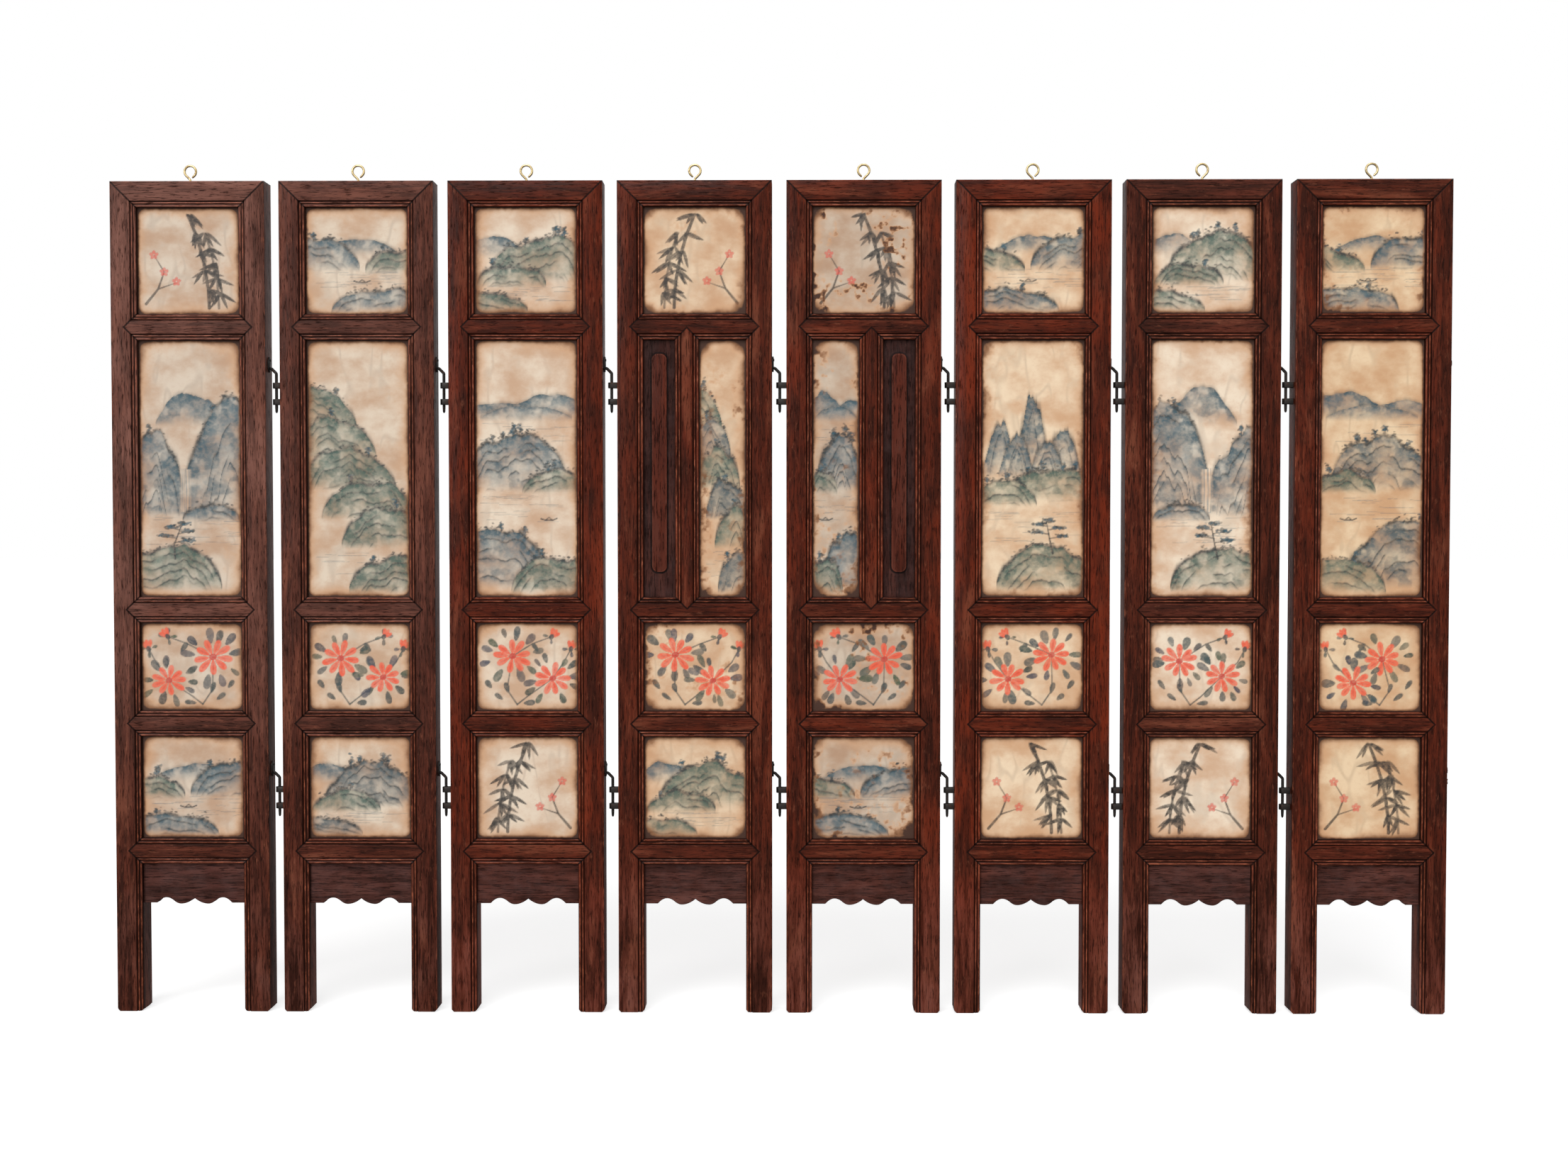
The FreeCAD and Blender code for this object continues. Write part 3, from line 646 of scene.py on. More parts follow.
def frame_part(panel, kind, material, along, reach_of, outer, redness):
    """One softened and marked piece of a frame, in the place of its CAD node."""
    node = f"panel_{panel}_{kind}"
    piece = clean_copy(node, f"{kind}_{panel}", material)
    soften(piece, along, reach_of, outer)
    mark(piece, reach_of, redness)
    return hand_over(piece, panel, "frame_wood", node)


def rail_reach(place):
    if place.z > HEAD - 1.0:
        return place.z - HEAD
    return HALF_RAIL - min(abs(place.z - middle) for middle in RAIL_MIDDLES)


frames = []
for panel in PANELS:
    centre = middle_of(panel)
    red = REDNESS[panel]

    def stile_reach(place):
        return abs(place.x - centre) - HALF_OPENING

    frames.append(frame_part(panel, "stiles", upright_wood, 2, stile_reach, FRAME_WIDTH, red))
    frames.append(frame_part(panel, "rails", across_wood, 0, rail_reach, FRAME_WIDTH, red * 0.7))
report(frames)

# %% [markdown]
# ## Mullions and blind boards
# The two middle panels have a pointed upright bar beside a plain board with a raised strip. They are made
# from their CAD pieces in the same way. The bar counts its distance from its own two edges.

# %% Mullions and blind boards
inner_parts = []
for panel, side in SPLIT_SIDE.items():
    bar_middle = middle_of(panel) + MULLION_OFFSET * side

    def bar_reach(place):
        return HALF_MULLION - abs(place.x - bar_middle)

    bar = frame_part(panel, "mullion", upright_wood, 2, bar_reach, NO_MOULDING, REDNESS[panel])
    inner_parts.append(bar)

    board = clean_copy(f"panel_{panel}_blind_board", f"blind_board_{panel}", board_wood)
    front = PLAQUE_FRONT - 0.5
    edit(board)
    rim = pick_edges(lambda edge: all(vertex.co.y / MM < front for vertex in edge.verts))
    bpy.ops.mesh.bevel(offset=0.3 * MM, segments=3, affect="EDGES", clamp_overlap=False)
    leave()
    shade(board, 38)
    mark(board, no_moulding, 0.2)
    inner_parts.append(hand_over(board, panel, "board_wood", f"panel_{panel}_blind_board"))
    print("board", panel, "has", rim, "edges round its strip")
report(inner_parts)

# %% [markdown]
# ## Aprons
# The board under the lowest rail ends in scallops: a cusp in the middle, then a lobe and a hollow on each
# side. CAD holds them as short straight runs. Here the front starts as a grid with one row of narrow cells,
# whose lower corners are set on the curve, and is then extruded to the board's thickness and rounded along its
# lower edge.

# %% Apron
APRON_TOP = 84.5 + LAP
APRON_FLAT = 61.7
SCALLOP_RISE = 3.0
SCALLOPS_BELOW = 66.0
APRON_CELLS = 156
SCALLOPS = (
    ((0.27, -0.2), (0.0, 0.87)),
    ((0.27, -0.2), (0.41, 0.4)),
    ((0.56, 1.0), (0.41, 0.4)),
    ((0.56, 1.0), (0.74, 0.0)),
)


def scallop_height(across):
    """Height of the edge above its flat ends, as a share of the scallops' height."""
    for (turn, level), (end, end_level) in SCALLOPS:
        if min(turn, end) <= across <= max(turn, end):
            return level + (end_level - level) * ((across - turn) / (end - turn)) ** 2
    return 0.0


def on_scallops(edge):
    """True for the edges that run along the scallops, but not for those from front to back."""
    first, last = (vertex.co for vertex in edge.verts)
    along_row = abs((first - last).y) < WELD < abs((first - last).x)
    return along_row and max(first.z, last.z) / MM < SCALLOPS_BELOW


bpy.ops.object.select_all(action="DESELECT")
bpy.ops.mesh.primitive_grid_add(
    x_subdivisions=APRON_CELLS, y_subdivisions=1, size=1.0, rotation=(math.pi / 2, 0, 0),
)
apron = bpy.context.object
apron.scale = ((2 * HALF_OPENING + 2 * LAP) * MM, (APRON_TOP - APRON_FLAT) * MM, 1.0)
apron.location = Vector((0.0, PLAQUE_FRONT, (APRON_TOP + APRON_FLAT) / 2)) * MM
settle(apron, "apron")
for vertex in apron.data.vertices:
    if vertex.co.z / MM < APRON_FLAT + 0.1:
        share = min(abs(vertex.co.x / MM) / HALF_OPENING, 1.0)
        vertex.co.z = (APRON_FLAT + SCALLOP_RISE * scallop_height(share)) * MM
edit(apron)
extrude((0.0, PLAQUE_BACK - PLAQUE_FRONT, 0.0))
leave()
tidy(apron)
edit(apron)
lower = pick_edges(on_scallops)
bpy.ops.mesh.bevel(offset=0.45 * MM, segments=3, affect="EDGES", clamp_overlap=False)
leave()
shade(apron, 38)
apron.data.materials.append(apron_wood)
aprons = []
for panel in PANELS:
    piece = copy_of(apron, f"apron_{panel}", middle_of(panel))
    mark(piece, no_moulding, REDNESS[panel] * 0.4)
    aprons.append(hand_over(piece, panel, "board_wood", f"panel_{panel}_apron"))
bpy.data.objects.remove(apron)
print("edge segments rounded", lower)
report(aprons)

# %% [markdown]
# ## Brushwork
# The paintings are generic ones of the kind: hills and water in blue-green washes, blossoms with dark leaves,
# and ink branches. They are painted in code. A painting is a grid of colours and of how much paint covers the
# stone; each brush mark is laid over what is there, as on paper, and every mark is drawn from seeded random
# numbers, so that a second run paints the same picture. The grid's points become the vertices of the plaque's front.

# %% Painting tools
GRAIN = 0.45
CLOUD_CELLS = 64
SLOPE_REACH = 8
INK = shown(20, 36, 42)[:3]
BLUE_WASH = shown(30, 98, 118)[:3]
GREEN_WASH = shown(62, 108, 98)[:3]
GREY_WASH = shown(62, 98, 110)[:3]
BLACK_INK = shown(34, 34, 34)[:3]
PETAL = shown(230, 88, 58)[:3]
PETAL_HEART = shown(192, 48, 38)[:3]
LEAF = shown(44, 60, 62)[:3]
RED_ACCENT = shown(208, 70, 58)[:3]


def smooth(values):
    values = np.clip(values, 0.0, 1.0)
    return values * values * (3.0 - 2.0 * values)


class Painting:
    """Paint on one plaque. Lengths are millimetres from the lower left corner of its opening."""

    def __init__(self, width, height, seed):
        self.width = width
        self.height = height
        self.random = np.random.default_rng(seed)
        self.across = np.linspace(0.0, width, round(width / GRAIN) + 1)
        self.up = np.linspace(0.0, height, round(height / GRAIN) + 1)
        self.x, self.y = np.meshgrid(self.across, self.up)
        self.colour = np.zeros(self.x.shape + (3,))
        self.cover = np.zeros(self.x.shape)

    def cloud(self, x, y, size, layers=3):
        """Soft random values round one half, in patches about this size."""
        total, weight = 0.0, 0.0
        for layer in range(layers):
            table = self.random.random((CLOUD_CELLS, CLOUD_CELLS))
            a, b = x / size * 2 ** layer, y / size * 2 ** layer
            i, j = np.floor(a).astype(int), np.floor(b).astype(int)
            p, q = smooth(a - i), smooth(b - j)
            column, row = i % CLOUD_CELLS, j % CLOUD_CELLS
            next_column, next_row = (i + 1) % CLOUD_CELLS, (j + 1) % CLOUD_CELLS
            near = table[row, column] * (1 - p) + table[row, next_column] * p
            far = table[next_row, column] * (1 - p) + table[next_row, next_column] * p
            total = total + (near * (1 - q) + far * q) / 2 ** layer
            weight += 1 / 2 ** layer
        return total / weight

    def lay(self, colour, share, window=(slice(None), slice(None))):
        """Lay paint over what is there."""
        share = np.clip(share, 0.0, 1.0)
        old = self.colour[window] * (self.cover[window] * (1 - share))[..., None]
        self.cover[window] = share + self.cover[window] * (1 - share)
        full = np.maximum(self.cover[window], 1e-6)[..., None]
        self.colour[window] = (np.array(colour) * share[..., None] + old) / full

    def lift(self, share):
        """Take paint off, so that a near hill hides what is behind it."""
        self.cover *= 1 - np.clip(share, 0.0, 1.0)

    def window(self, left, low, right, high):
        columns = np.searchsorted(self.across, (left, right))
        rows = np.searchsorted(self.up, (low, high))
        return slice(rows[0], rows[1]), slice(columns[0], columns[1])

    def blot(self, across, up, long, wide, turn, colour, share=0.9, taper=0.0, soft=0.3):
        """One touch of the brush: an oval, or with taper a leaf that is widest past its middle."""
        reach = max(long, wide) + 1.0
        window = self.window(across - reach, up - reach, across + reach, up + reach)
        x, y = self.x[window] - across, self.y[window] - up
        a = x * math.cos(turn) + y * math.sin(turn)
        b = y * math.cos(turn) - x * math.sin(turn)
        width = wide * (1.0 + taper * a / long)
        edge = 1.0 - np.hypot(a / long, b / np.maximum(width, 0.05))
        self.lay(colour, share * smooth(edge * min(long, wide) / soft + 0.5), window)

    def stroke(self, points, width, colour, share=0.9, taper=0.6):
        """A line through the points that thins towards its end."""
        points = np.array(points, float)
        spread = width + 1.2
        (left, low), (right, high) = points.min(0) - spread, points.max(0) + spread
        window = self.window(left, low, right, high)
        x, y = self.x[window], self.y[window]
        best = np.full(x.shape, 9.0)
        for i in range(len(points) - 1):
            start, step = points[i], points[i + 1] - points[i]
            a, b = x - start[0], y - start[1]
            along = np.clip((a * step[0] + b * step[1]) / max(step @ step, 1e-9), 0, 1)
            apart = np.hypot(a - along * step[0], b - along * step[1])
            thick = width / 2 * (1 - taper * (i + along) / (len(points) - 1))
            best = np.minimum(best, apart - thick)
        self.lay(colour, share * smooth(0.5 - best / 0.45), window)

    def hill(self, middle, half, foot, rise, wash, ink, steep, mist, folds, lean):
        """One hill or rock: an outline, a wash that darkens below it, and folds that follow it."""
        tint, rough = 0.95, 0.26
        t = (self.across - middle) / half
        t = t + lean * (1 - np.clip(np.abs(t), 0, 1))
        flat = 0.0 * self.across
        hump = np.clip(1 - np.abs(t) ** 2.2, 0, None) ** steep
        line = foot + rise * hump * (1 + rough * (self.cloud(self.across, flat, half * 0.45, 4) - 0.5) * 2)
        even = np.ones(2 * SLOPE_REACH + 1) / (2 * SLOPE_REACH + 1)
        slope = np.convolve(np.pad(np.gradient(line, self.across), SLOPE_REACH, "edge"), even, "valid")
        depth = (line[None, :] - self.y)
        square = depth / np.sqrt(1 + slope[None, :] ** 2)
        inside = (np.abs(t) < 1)[None, :] * smooth(depth / 0.5)
        ground = smooth((self.y - foot) / max(mist, 0.5) + 0.35)
        self.lift(inside * ground * 0.92)
        speckle = self.cloud(self.x, self.y, 5.0, 4)
        body = inside * ground
        deep = tuple(0.5 * w for w in wash)
        fade = np.exp(-np.maximum(depth, 0) / (rise * 0.9 + 6))
        self.lay(wash, tint * 0.8 * body * fade * (0.35 + speckle))
        growth = smooth((self.cloud(self.x, self.y, 7.0, 3) - 0.5) / 0.13)
        self.lay(deep, 0.6 * tint * growth * body * (0.3 + speckle))
        shade = smooth((speckle - 0.32) / 0.2) * np.exp(-np.maximum(square, 0) / (2.6 + rise * 0.1))
        self.lay(deep, tint * body * shade)
        for level in range(1, folds + 1):
            drop = level * (2.8 + rise * 0.08) + 4.0 * (self.cloud(self.across, flat, 15.0, 2) - 0.5)
            broken = smooth((self.cloud(self.across, flat, 11.0, 2) - 0.34) / 0.2)[None, :]
            past = square - drop[None, :]
            shadow = smooth(past / 0.5 + 0.5) * np.exp(-np.maximum(past, 0) / 1.7)
            self.lay(deep, 0.9 * tint * shadow * broken * body * (0.5 + speckle))
            self.lay(INK, 0.8 * ink * np.exp(-(past / 0.5) ** 2) * broken * body)
        pressure = 0.5 + 0.5 * smooth((self.cloud(self.across, flat, 4.5, 3) - 0.3) / 0.35)
        thick = 0.6 + 0.5 * pressure
        outline = np.exp(-(square / thick[None, :]) ** 2) * pressure[None, :] * (np.abs(t) < 1.0)[None, :]
        self.lay(INK, ink * outline * smooth((self.y - foot) / 3.0 + 0.6))
        return line

    def moss(self, line, left, right, count):
        """Dots of ink along an outline, where trees and moss grow."""
        for _ in range(count):
            across = self.random.uniform(left, right)
            up = np.interp(across, self.across, line) + abs(self.random.normal(0.0, 1.4))
            size = self.random.uniform(0.35, 0.85)
            turn = self.random.normal(0.0, 0.4)
            self.blot(across, up, size * 1.3, size * 0.7, turn, INK, 0.9 * self.random.uniform(0.5, 1.0))

    def foliage(self, across, up, half, tall, count, share):
        """A cluster of leaves: overlapping dabs, about half of them ink and half dark blue."""
        for _ in range(count):
            a = across + self.random.normal(0.0, 0.45) * half
            b = up + self.random.normal(0.0, 0.45) * tall
            size = self.random.uniform(0.55, 1.1)
            colour = INK if self.random.random() < 0.5 else tuple(0.6 * w for w in BLUE_WASH)
            turn = self.random.normal(0.0, 0.4)
            self.blot(a, b, size, size * 0.6, turn, colour, share * self.random.uniform(0.5, 1.0))

    def far_tree(self, across, up, tall):
        """A far tree: a thin trunk in a narrow cluster."""
        share = 0.85
        self.stroke([(across, up), (across + 0.2, up + 0.7 * tall)], 0.5, INK, share, 0.5)
        self.foliage(across, up + 0.6 * tall, 0.24 * tall, 0.4 * tall, round(3.2 * tall), share)

    def pine(self, across, up, tall, lean=0.0):
        """A near pine: a bent trunk whose boughs end in flat clusters."""
        top = (across + lean * tall, up + tall)
        knee = (across + lean * tall * 0.2 - 0.06 * tall, up + tall * 0.45)
        self.stroke([(across, up), knee, top], 1.3, INK, 0.9)
        for level, reach in ((0.5, 0.4), (0.64, -0.38), (0.78, 0.34), (0.9, -0.24), (1.02, 0.05)):
            start = (knee[0] + (top[0] - knee[0]) * (2 * level - 1), up + tall * level)
            end = (start[0] + reach * tall, start[1] + 0.05 * tall)
            self.stroke([start, end], 0.8, INK, 0.8)
            self.foliage(end[0], end[1] + 0.03 * tall, 0.22 * tall, 0.06 * tall, round(2.6 * tall), 0.85)

    def water(self, low, high, left, right, count):
        """Thin level lines of water."""
        for _ in range(count):
            up = self.random.uniform(low, high)
            start = self.random.uniform(left, right)
            long = self.random.uniform(0.1, 0.35) * (right - left)
            wave = [(start + long * k / 4, up + self.random.normal(0, 0.12)) for k in range(5)]
            self.stroke(wave, 0.35, GREY_WASH, 0.45, 0.3)

    def boat(self, across, up, long):
        """A low boat: a curved hull, a mat cover and its line on the water."""
        bow, stern = (across - long / 2, up + 0.7), (across + long / 2, up + 0.9)
        self.stroke([bow, (across - long / 4, up), (across + long / 4, up), stern], 0.9, INK, 0.9, 0.2)
        cover = [(across - long / 6, up + 0.4), (across, up + 1.5), (across + long / 6, up + 0.4)]
        self.stroke(cover, 0.7, INK, 0.8, 0.1)
        line = [(across - long * 0.7, up - 0.9), (across + long * 0.6, up - 0.9)]
        self.stroke(line, 0.35, GREY_WASH, 0.6, 0.3)

    def fall(self, across, high, low, wide):
        """Falling water: bare stone with a few thin lines down it."""
        column = np.exp(-((self.x - across) / wide) ** 4) * (self.y < high) * (self.y > low)
        self.lift(0.9 * column)
        for _ in range(5):
            at = across + self.random.uniform(-0.8, 0.8) * wide
            self.stroke([(at, high), (at + 0.4, (high + low) / 2), (at, low)], 0.4, BLUE_WASH, 0.6, 0.3)

    def leaves(self, across, up, far, count, size):
        """Dark leaves in a ring round a blossom."""
        for k in range(count):
            angle = 2 * math.pi * k / count + self.random.normal(0, 0.22)
            leaf = size * self.random.uniform(0.75, 1.2)
            reach = far * self.random.uniform(0.95, 1.25)
            place = (across + reach * math.cos(angle), up + 0.85 * reach * math.sin(angle))
            tone = tuple(w * self.random.uniform(0.7, 1.5) for w in LEAF)
            wide = leaf * self.random.uniform(0.42, 0.58)
            self.blot(*place, leaf, wide, angle, tone, self.random.uniform(0.75, 0.97), 0.3)

    def blossom(self, across, up, size, count=9):
        """An open flower: broad petals round a dark heart."""
        self.leaves(across, up, size * 1.22, 10, size * 0.34)
        start = self.random.uniform(0, 1)
        for k in range(count):
            angle = 2 * math.pi * (k + start + self.random.uniform(-0.12, 0.12)) / count
            long = size * self.random.uniform(0.36, 0.43)
            far = size * 0.2 + long
            place = (across + far * math.cos(angle), up + 0.86 * far * math.sin(angle))
            turn = math.atan2(0.86 * math.sin(angle), math.cos(angle))
            self.blot(*place, long, size * 0.155, turn, PETAL, self.random.uniform(0.82, 0.99), 0.4)
            self.blot(*place, long * 0.6, size * 0.05, turn, PETAL_HEART, 0.4)
        self.blot(across, up, size * 0.2, size * 0.16, 0.3, PETAL_HEART, 0.95)

    def bud(self, across, up, size, turn):
        """A closed flower: three petals side by side in a dark cup."""
        for lean in (-0.5, 0.5, 0.0):
            angle = turn + lean
            place = (across + size * 0.5 * math.cos(angle), up + size * 0.5 * math.sin(angle))
            self.blot(*place, size * 0.6, size * 0.24, angle, PETAL, 0.9, 0.2)
        self.blot(across, up, size * 0.36, size * 0.28, turn, LEAF, 0.92)


print("paint covers the stone in steps of", GRAIN, "mm")

# %% Pictures


def flowers(picture, mirrored):
    """A spray from a lower corner, with two open blossoms, a bud at each end and leaves between."""
    w, h, r = picture.width, picture.height, picture.random

    def place(a, b):
        return ((1 - a if mirrored else a) * w, b * h)

    shift = r.uniform(-0.05, 0.05, 4)
    root = place(0.4, 0.07)
    high = place(0.33 + shift[0], 0.6 + shift[1])
    low = place(0.7 + shift[2], 0.36 + shift[3])
    tips = (place(0.74, 0.84), place(0.93, 0.7))
    stems = (
        (root, place(0.3, 0.24), high),
        (root, place(0.5, 0.16), low),
        (high, place(0.55, 0.76), tips[0]),
        (low, place(0.86, 0.55), tips[1]),
    )
    for stem in stems:
        picture.stroke(stem, 0.9, LEAF, 0.85, 0.3)
    loose = ((0.22, 0.16, 2.5), (0.3, 0.26, 1.9), (0.52, 0.09, 0.1), (0.12, 0.3, 2.2), (0.58, 0.72, 2.2))
    for a, b, turn in loose:
        turn = math.pi - turn if mirrored else turn
        picture.blot(*place(a, b), r.uniform(2.6, 3.4), r.uniform(1.2, 1.6), turn, LEAF, 0.9, 0.3)
    picture.blossom(*high, r.uniform(10.2, 11.4))
    picture.blossom(*low, r.uniform(9.4, 10.6))
    for tip, turn in zip(tips, (0.9, 1.3)):
        picture.leaves(*tip, 3.2, 4, 1.7)
        picture.bud(*tip, r.uniform(4.4, 5.2), math.pi - turn if mirrored else turn)


class Layout:
    """Hills, trees and water placed by shares of a picture, from its left or mirrored."""

    def __init__(self, picture, wash, mirrored):
        self.picture = picture
        self.wash = wash
        self.side = -1 if mirrored else 1

    def at(self, share):
        return self.picture.width * (0.5 + self.side * (share - 0.5))

    def hill(self, middle, half, foot, rise, steep, folds, trees=0, moss=0, wash=None,
             ink=0.95, mist=6.0, lean=0.0):
        p = self.picture
        centre, reach = self.at(middle), half * p.width
        wash = wash or self.wash
        line = p.hill(centre, reach, foot * p.height, rise * p.height, wash, ink, steep, mist, folds,
                      lean * self.side)
        for _ in range(trees):
            across = self.at(middle + p.random.uniform(-0.6, 0.6) * half)
            p.far_tree(across, np.interp(across, p.across, line) - 0.6, p.random.uniform(4.5, 7.5))
        p.moss(line, centre - 0.8 * half * p.width, centre + 0.8 * half * p.width, moss)

    def far_hill(self, middle, half, foot, rise):
        self.hill(middle, half, foot, rise, 0.9, 0, wash=BLUE_WASH, ink=0.35, mist=9.0)

    def boat(self, share):
        p = self.picture
        p.boat(self.at(share), 0.3 * p.height, min(9.0, 0.3 * p.width))

    def fall(self, share, high, low, wide):
        p = self.picture
        p.fall(self.at(share), high * p.height, low * p.height, wide * p.width)

    def pine(self, share, up, tall, lean):
        self.picture.pine(self.at(share), up * self.picture.height, tall, lean * self.side)

    def water(self, low, high, count):
        p = self.picture
        p.water(low * p.height, high * p.height, 0.04 * p.width, 0.9 * p.width, count)


def gorge(scene):
    """Two bluffs with a fall between them, over a pool."""
    scene.far_hill(0.5, 0.34, 0.68, 0.12)
    scene.hill(0.08, 0.5, 0.34, 0.42, 0.5, 6, 3, 40, lean=0.2)
    scene.hill(0.98, 0.42, 0.32, 0.33, 0.45, 5, 2, 34)
    scene.fall(0.55, 0.5, 0.33, 0.05)
    scene.hill(0.3, 0.28, 0.3, 0.06, 0.5, 2, 0, 16)
    scene.water(0.2, 0.31, 22)
    scene.hill(0.7, 0.5, 0.03, 0.15, 0.5, 4, 0, 40, GREEN_WASH)
    scene.pine(0.66, 0.15, 18.0, -0.2)


def island(scene):
    """Low far ridges, a lake with a wooded island and a boat, and a bank in front."""
    for middle, rise in ((0.2, 0.06), (0.75, 0.09), (0.5, 0.045)):
        scene.far_hill(middle, 0.45, 0.7, rise)
    scene.water(0.6, 0.68, 10)
    scene.hill(0.4, 0.5, 0.42, 0.2, 0.45, 5, 6, 60)
    scene.hill(0.76, 0.3, 0.41, 0.08, 0.5, 2, 2, 24, GREEN_WASH)
    scene.water(0.3, 0.4, 18)
    scene.boat(0.72)
    scene.hill(0.1, 0.66, 0.04, 0.23, 0.5, 5, 2, 50)
    scene.hill(0.8, 0.45, 0.02, 0.13, 0.5, 3, 1, 36, GREEN_WASH)


def stair(scene):
    """Ridges that climb from one lower corner to the other upper one, with mist between."""
    for step in range(5, 0, -1):
        wash = GREEN_WASH if step % 2 else None
        ink = 0.45 + 0.1 * (6 - step)
        scene.hill(0.98 - 0.19 * step, 0.46, 0.08 + 0.115 * step, 0.15, 0.55, 4, 1, 34, wash, ink, 5.0)
    scene.water(0.08, 0.18, 16)
    scene.hill(0.9, 0.5, 0.02, 0.14, 0.5, 4, 2, 40)


def pinnacles(scene):
    """Steep far pinnacles over a wooded bank and a stream."""
    for middle, rise in ((0.2, 0.17), (0.82, 0.2), (0.5, 0.3), (0.36, 0.13), (0.66, 0.16)):
        scene.hill(middle, 0.17, 0.48, rise, 1.1, 2, 0, 0, BLUE_WASH, 0.7, 12.0)
    scene.hill(0.25, 0.5, 0.38, 0.12, 0.45, 4, 5, 60)
    scene.hill(0.82, 0.36, 0.36, 0.09, 0.5, 3, 3, 36, GREEN_WASH)
    scene.water(0.2, 0.34, 22)
    scene.hill(0.35, 0.5, 0.03, 0.16, 0.5, 5, 0, 44)
    scene.pine(0.3, 0.17, 17.0, 0.2)


def cove(scene):
    """Two headlands with a boat between them."""
    scene.far_hill(0.5, 0.4, 0.58, 0.14)
    scene.hill(0.05, 0.48, 0.42, 0.3, 0.5, 4, 3, 44)
    scene.hill(0.98, 0.4, 0.4, 0.2, 0.5, 3, 2, 34, GREEN_WASH)
    scene.water(0.22, 0.42, 20)
    scene.boat(0.55)
    scene.hill(0.75, 0.5, 0.03, 0.2, 0.5, 3, 1, 44)


def knoll(scene):
    """One wooded knoll by the water."""
    scene.far_hill(0.2, 0.3, 0.56, 0.18)
    scene.hill(0.62, 0.48, 0.32, 0.4, 0.5, 5, 4, 56, lean=-0.2)
    scene.hill(0.36, 0.34, 0.27, 0.18, 0.5, 3, 1, 34, GREEN_WASH)
    scene.water(0.12, 0.26, 18)
    scene.hill(0.12, 0.4, 0.03, 0.16, 0.5, 2, 0, 34)


TALL_LAYOUTS = {1: gorge, 2: stair, 3: island, 4: stair, 5: island, 6: pinnacles, 7: gorge, 8: island}
SMALL_LAYOUTS = (cove, knoll)


def landscape(picture, layout, mood, mirrored):
    layout(Layout(picture, (BLUE_WASH, GREY_WASH, BLUE_WASH, GREEN_WASH)[mood % 4], mirrored))


def ink_branch(picture, mood):
    """Black ink bamboo with a plum twig and a few red blossoms."""
    w, h, r = picture.width, picture.height, picture.random
    side = 1 if mood % 2 else -1
    base = w * (0.5 + 0.2 * side)
    for k in range(2):
        foot = base + side * 5.5 * k
        steps = np.linspace(0, 1 - 0.2 * k, 6)
        points = [(foot - side * 0.05 * w * t * t * 4, h * (0.05 + 0.88 * t)) for t in steps]
        for a, b in zip(points[:-1], points[1:]):
            near = (a[0] + (b[0] - a[0]) * 0.06, a[1] + (b[1] - a[1]) * 0.06)
            picture.stroke([near, b], 1.9 - 0.5 * k, BLACK_INK, 0.88 - 0.15 * k, 0.1)
        for a, b in points[1:]:
            for _ in range(5):
                turn = math.radians(r.uniform(195, 345))
                long = r.uniform(3.2, 5.6)
                far = (a + long * math.cos(turn) + r.uniform(-1.5, 1.5), b + long * 0.8 * math.sin(turn))
                picture.blot(*far, long, 0.95, turn, BLACK_INK, r.uniform(0.7, 0.97), -0.35)
    bends = ((0.42, 0.1), (0.3, 0.24), (0.24, 0.4), (0.34, 0.56))
    twig = [(w * (0.5 - aside * side), h * up) for aside, up in bends]
    picture.stroke(twig, 1.6, BLACK_INK, 0.85, 0.75)
    picture.stroke([twig[1], (w * (0.5 - 0.12 * side), h * 0.3)], 1.0, BLACK_INK, 0.8, 0.7)
    for a, b in (twig[2], twig[3], (w * (0.5 - 0.12 * side), h * 0.31)):
        for k in range(5):
            turn = 2 * math.pi * k / 5 + 0.3
            petal = (a + 1.5 * math.cos(turn), b + 1.5 * math.sin(turn))
            picture.blot(*petal, 1.15, 0.95, turn, RED_ACCENT, 0.7)


def paint(picture, kind, panel, mood, mirrored):
    if kind == "flowers":
        flowers(picture, mirrored)
    elif kind == "tall":
        landscape(picture, TALL_LAYOUTS[panel], mood, mirrored)
    elif kind == "ink":
        ink_branch(picture, mood)
    else:
        landscape(picture, SMALL_LAYOUTS[mood % 2], mood, mirrored)


INK_PLAQUES = {(1, "top"), (4, "top"), (5, "top"), (3, "low"), (6, "low"), (7, "low"), (8, "low")}
print("ink branches on", sorted(INK_PLAQUES))

# %% [markdown]
# ## Dirt, age and painted shade
# Waxing and dust have left each plaque ochre towards its edges. Right beside the wood and in the corners it is
# dark brown, as dirt and as painted shade of the recess. This is one more number at each vertex, from the
# distance to the opening's edge, broken up by soft random values. Some plaques have stains of their own.

# %% Age and painted shade
STAINS = {
    (4, "top"): 0.2, (4, "tall"): 0.3, (4, "flowers"): 0.35,
    (5, "top"): 0.85, (5, "tall"): 0.4, (5, "flowers"): 0.6, (5, "low"): 0.45,
    (6, "tall"): 0.15, (7, "tall"): 0.15, (8, "top"): 0.3,
}
CORNER_DIRT_AND_SHADE = {4: 0.48, 5: 0.5}


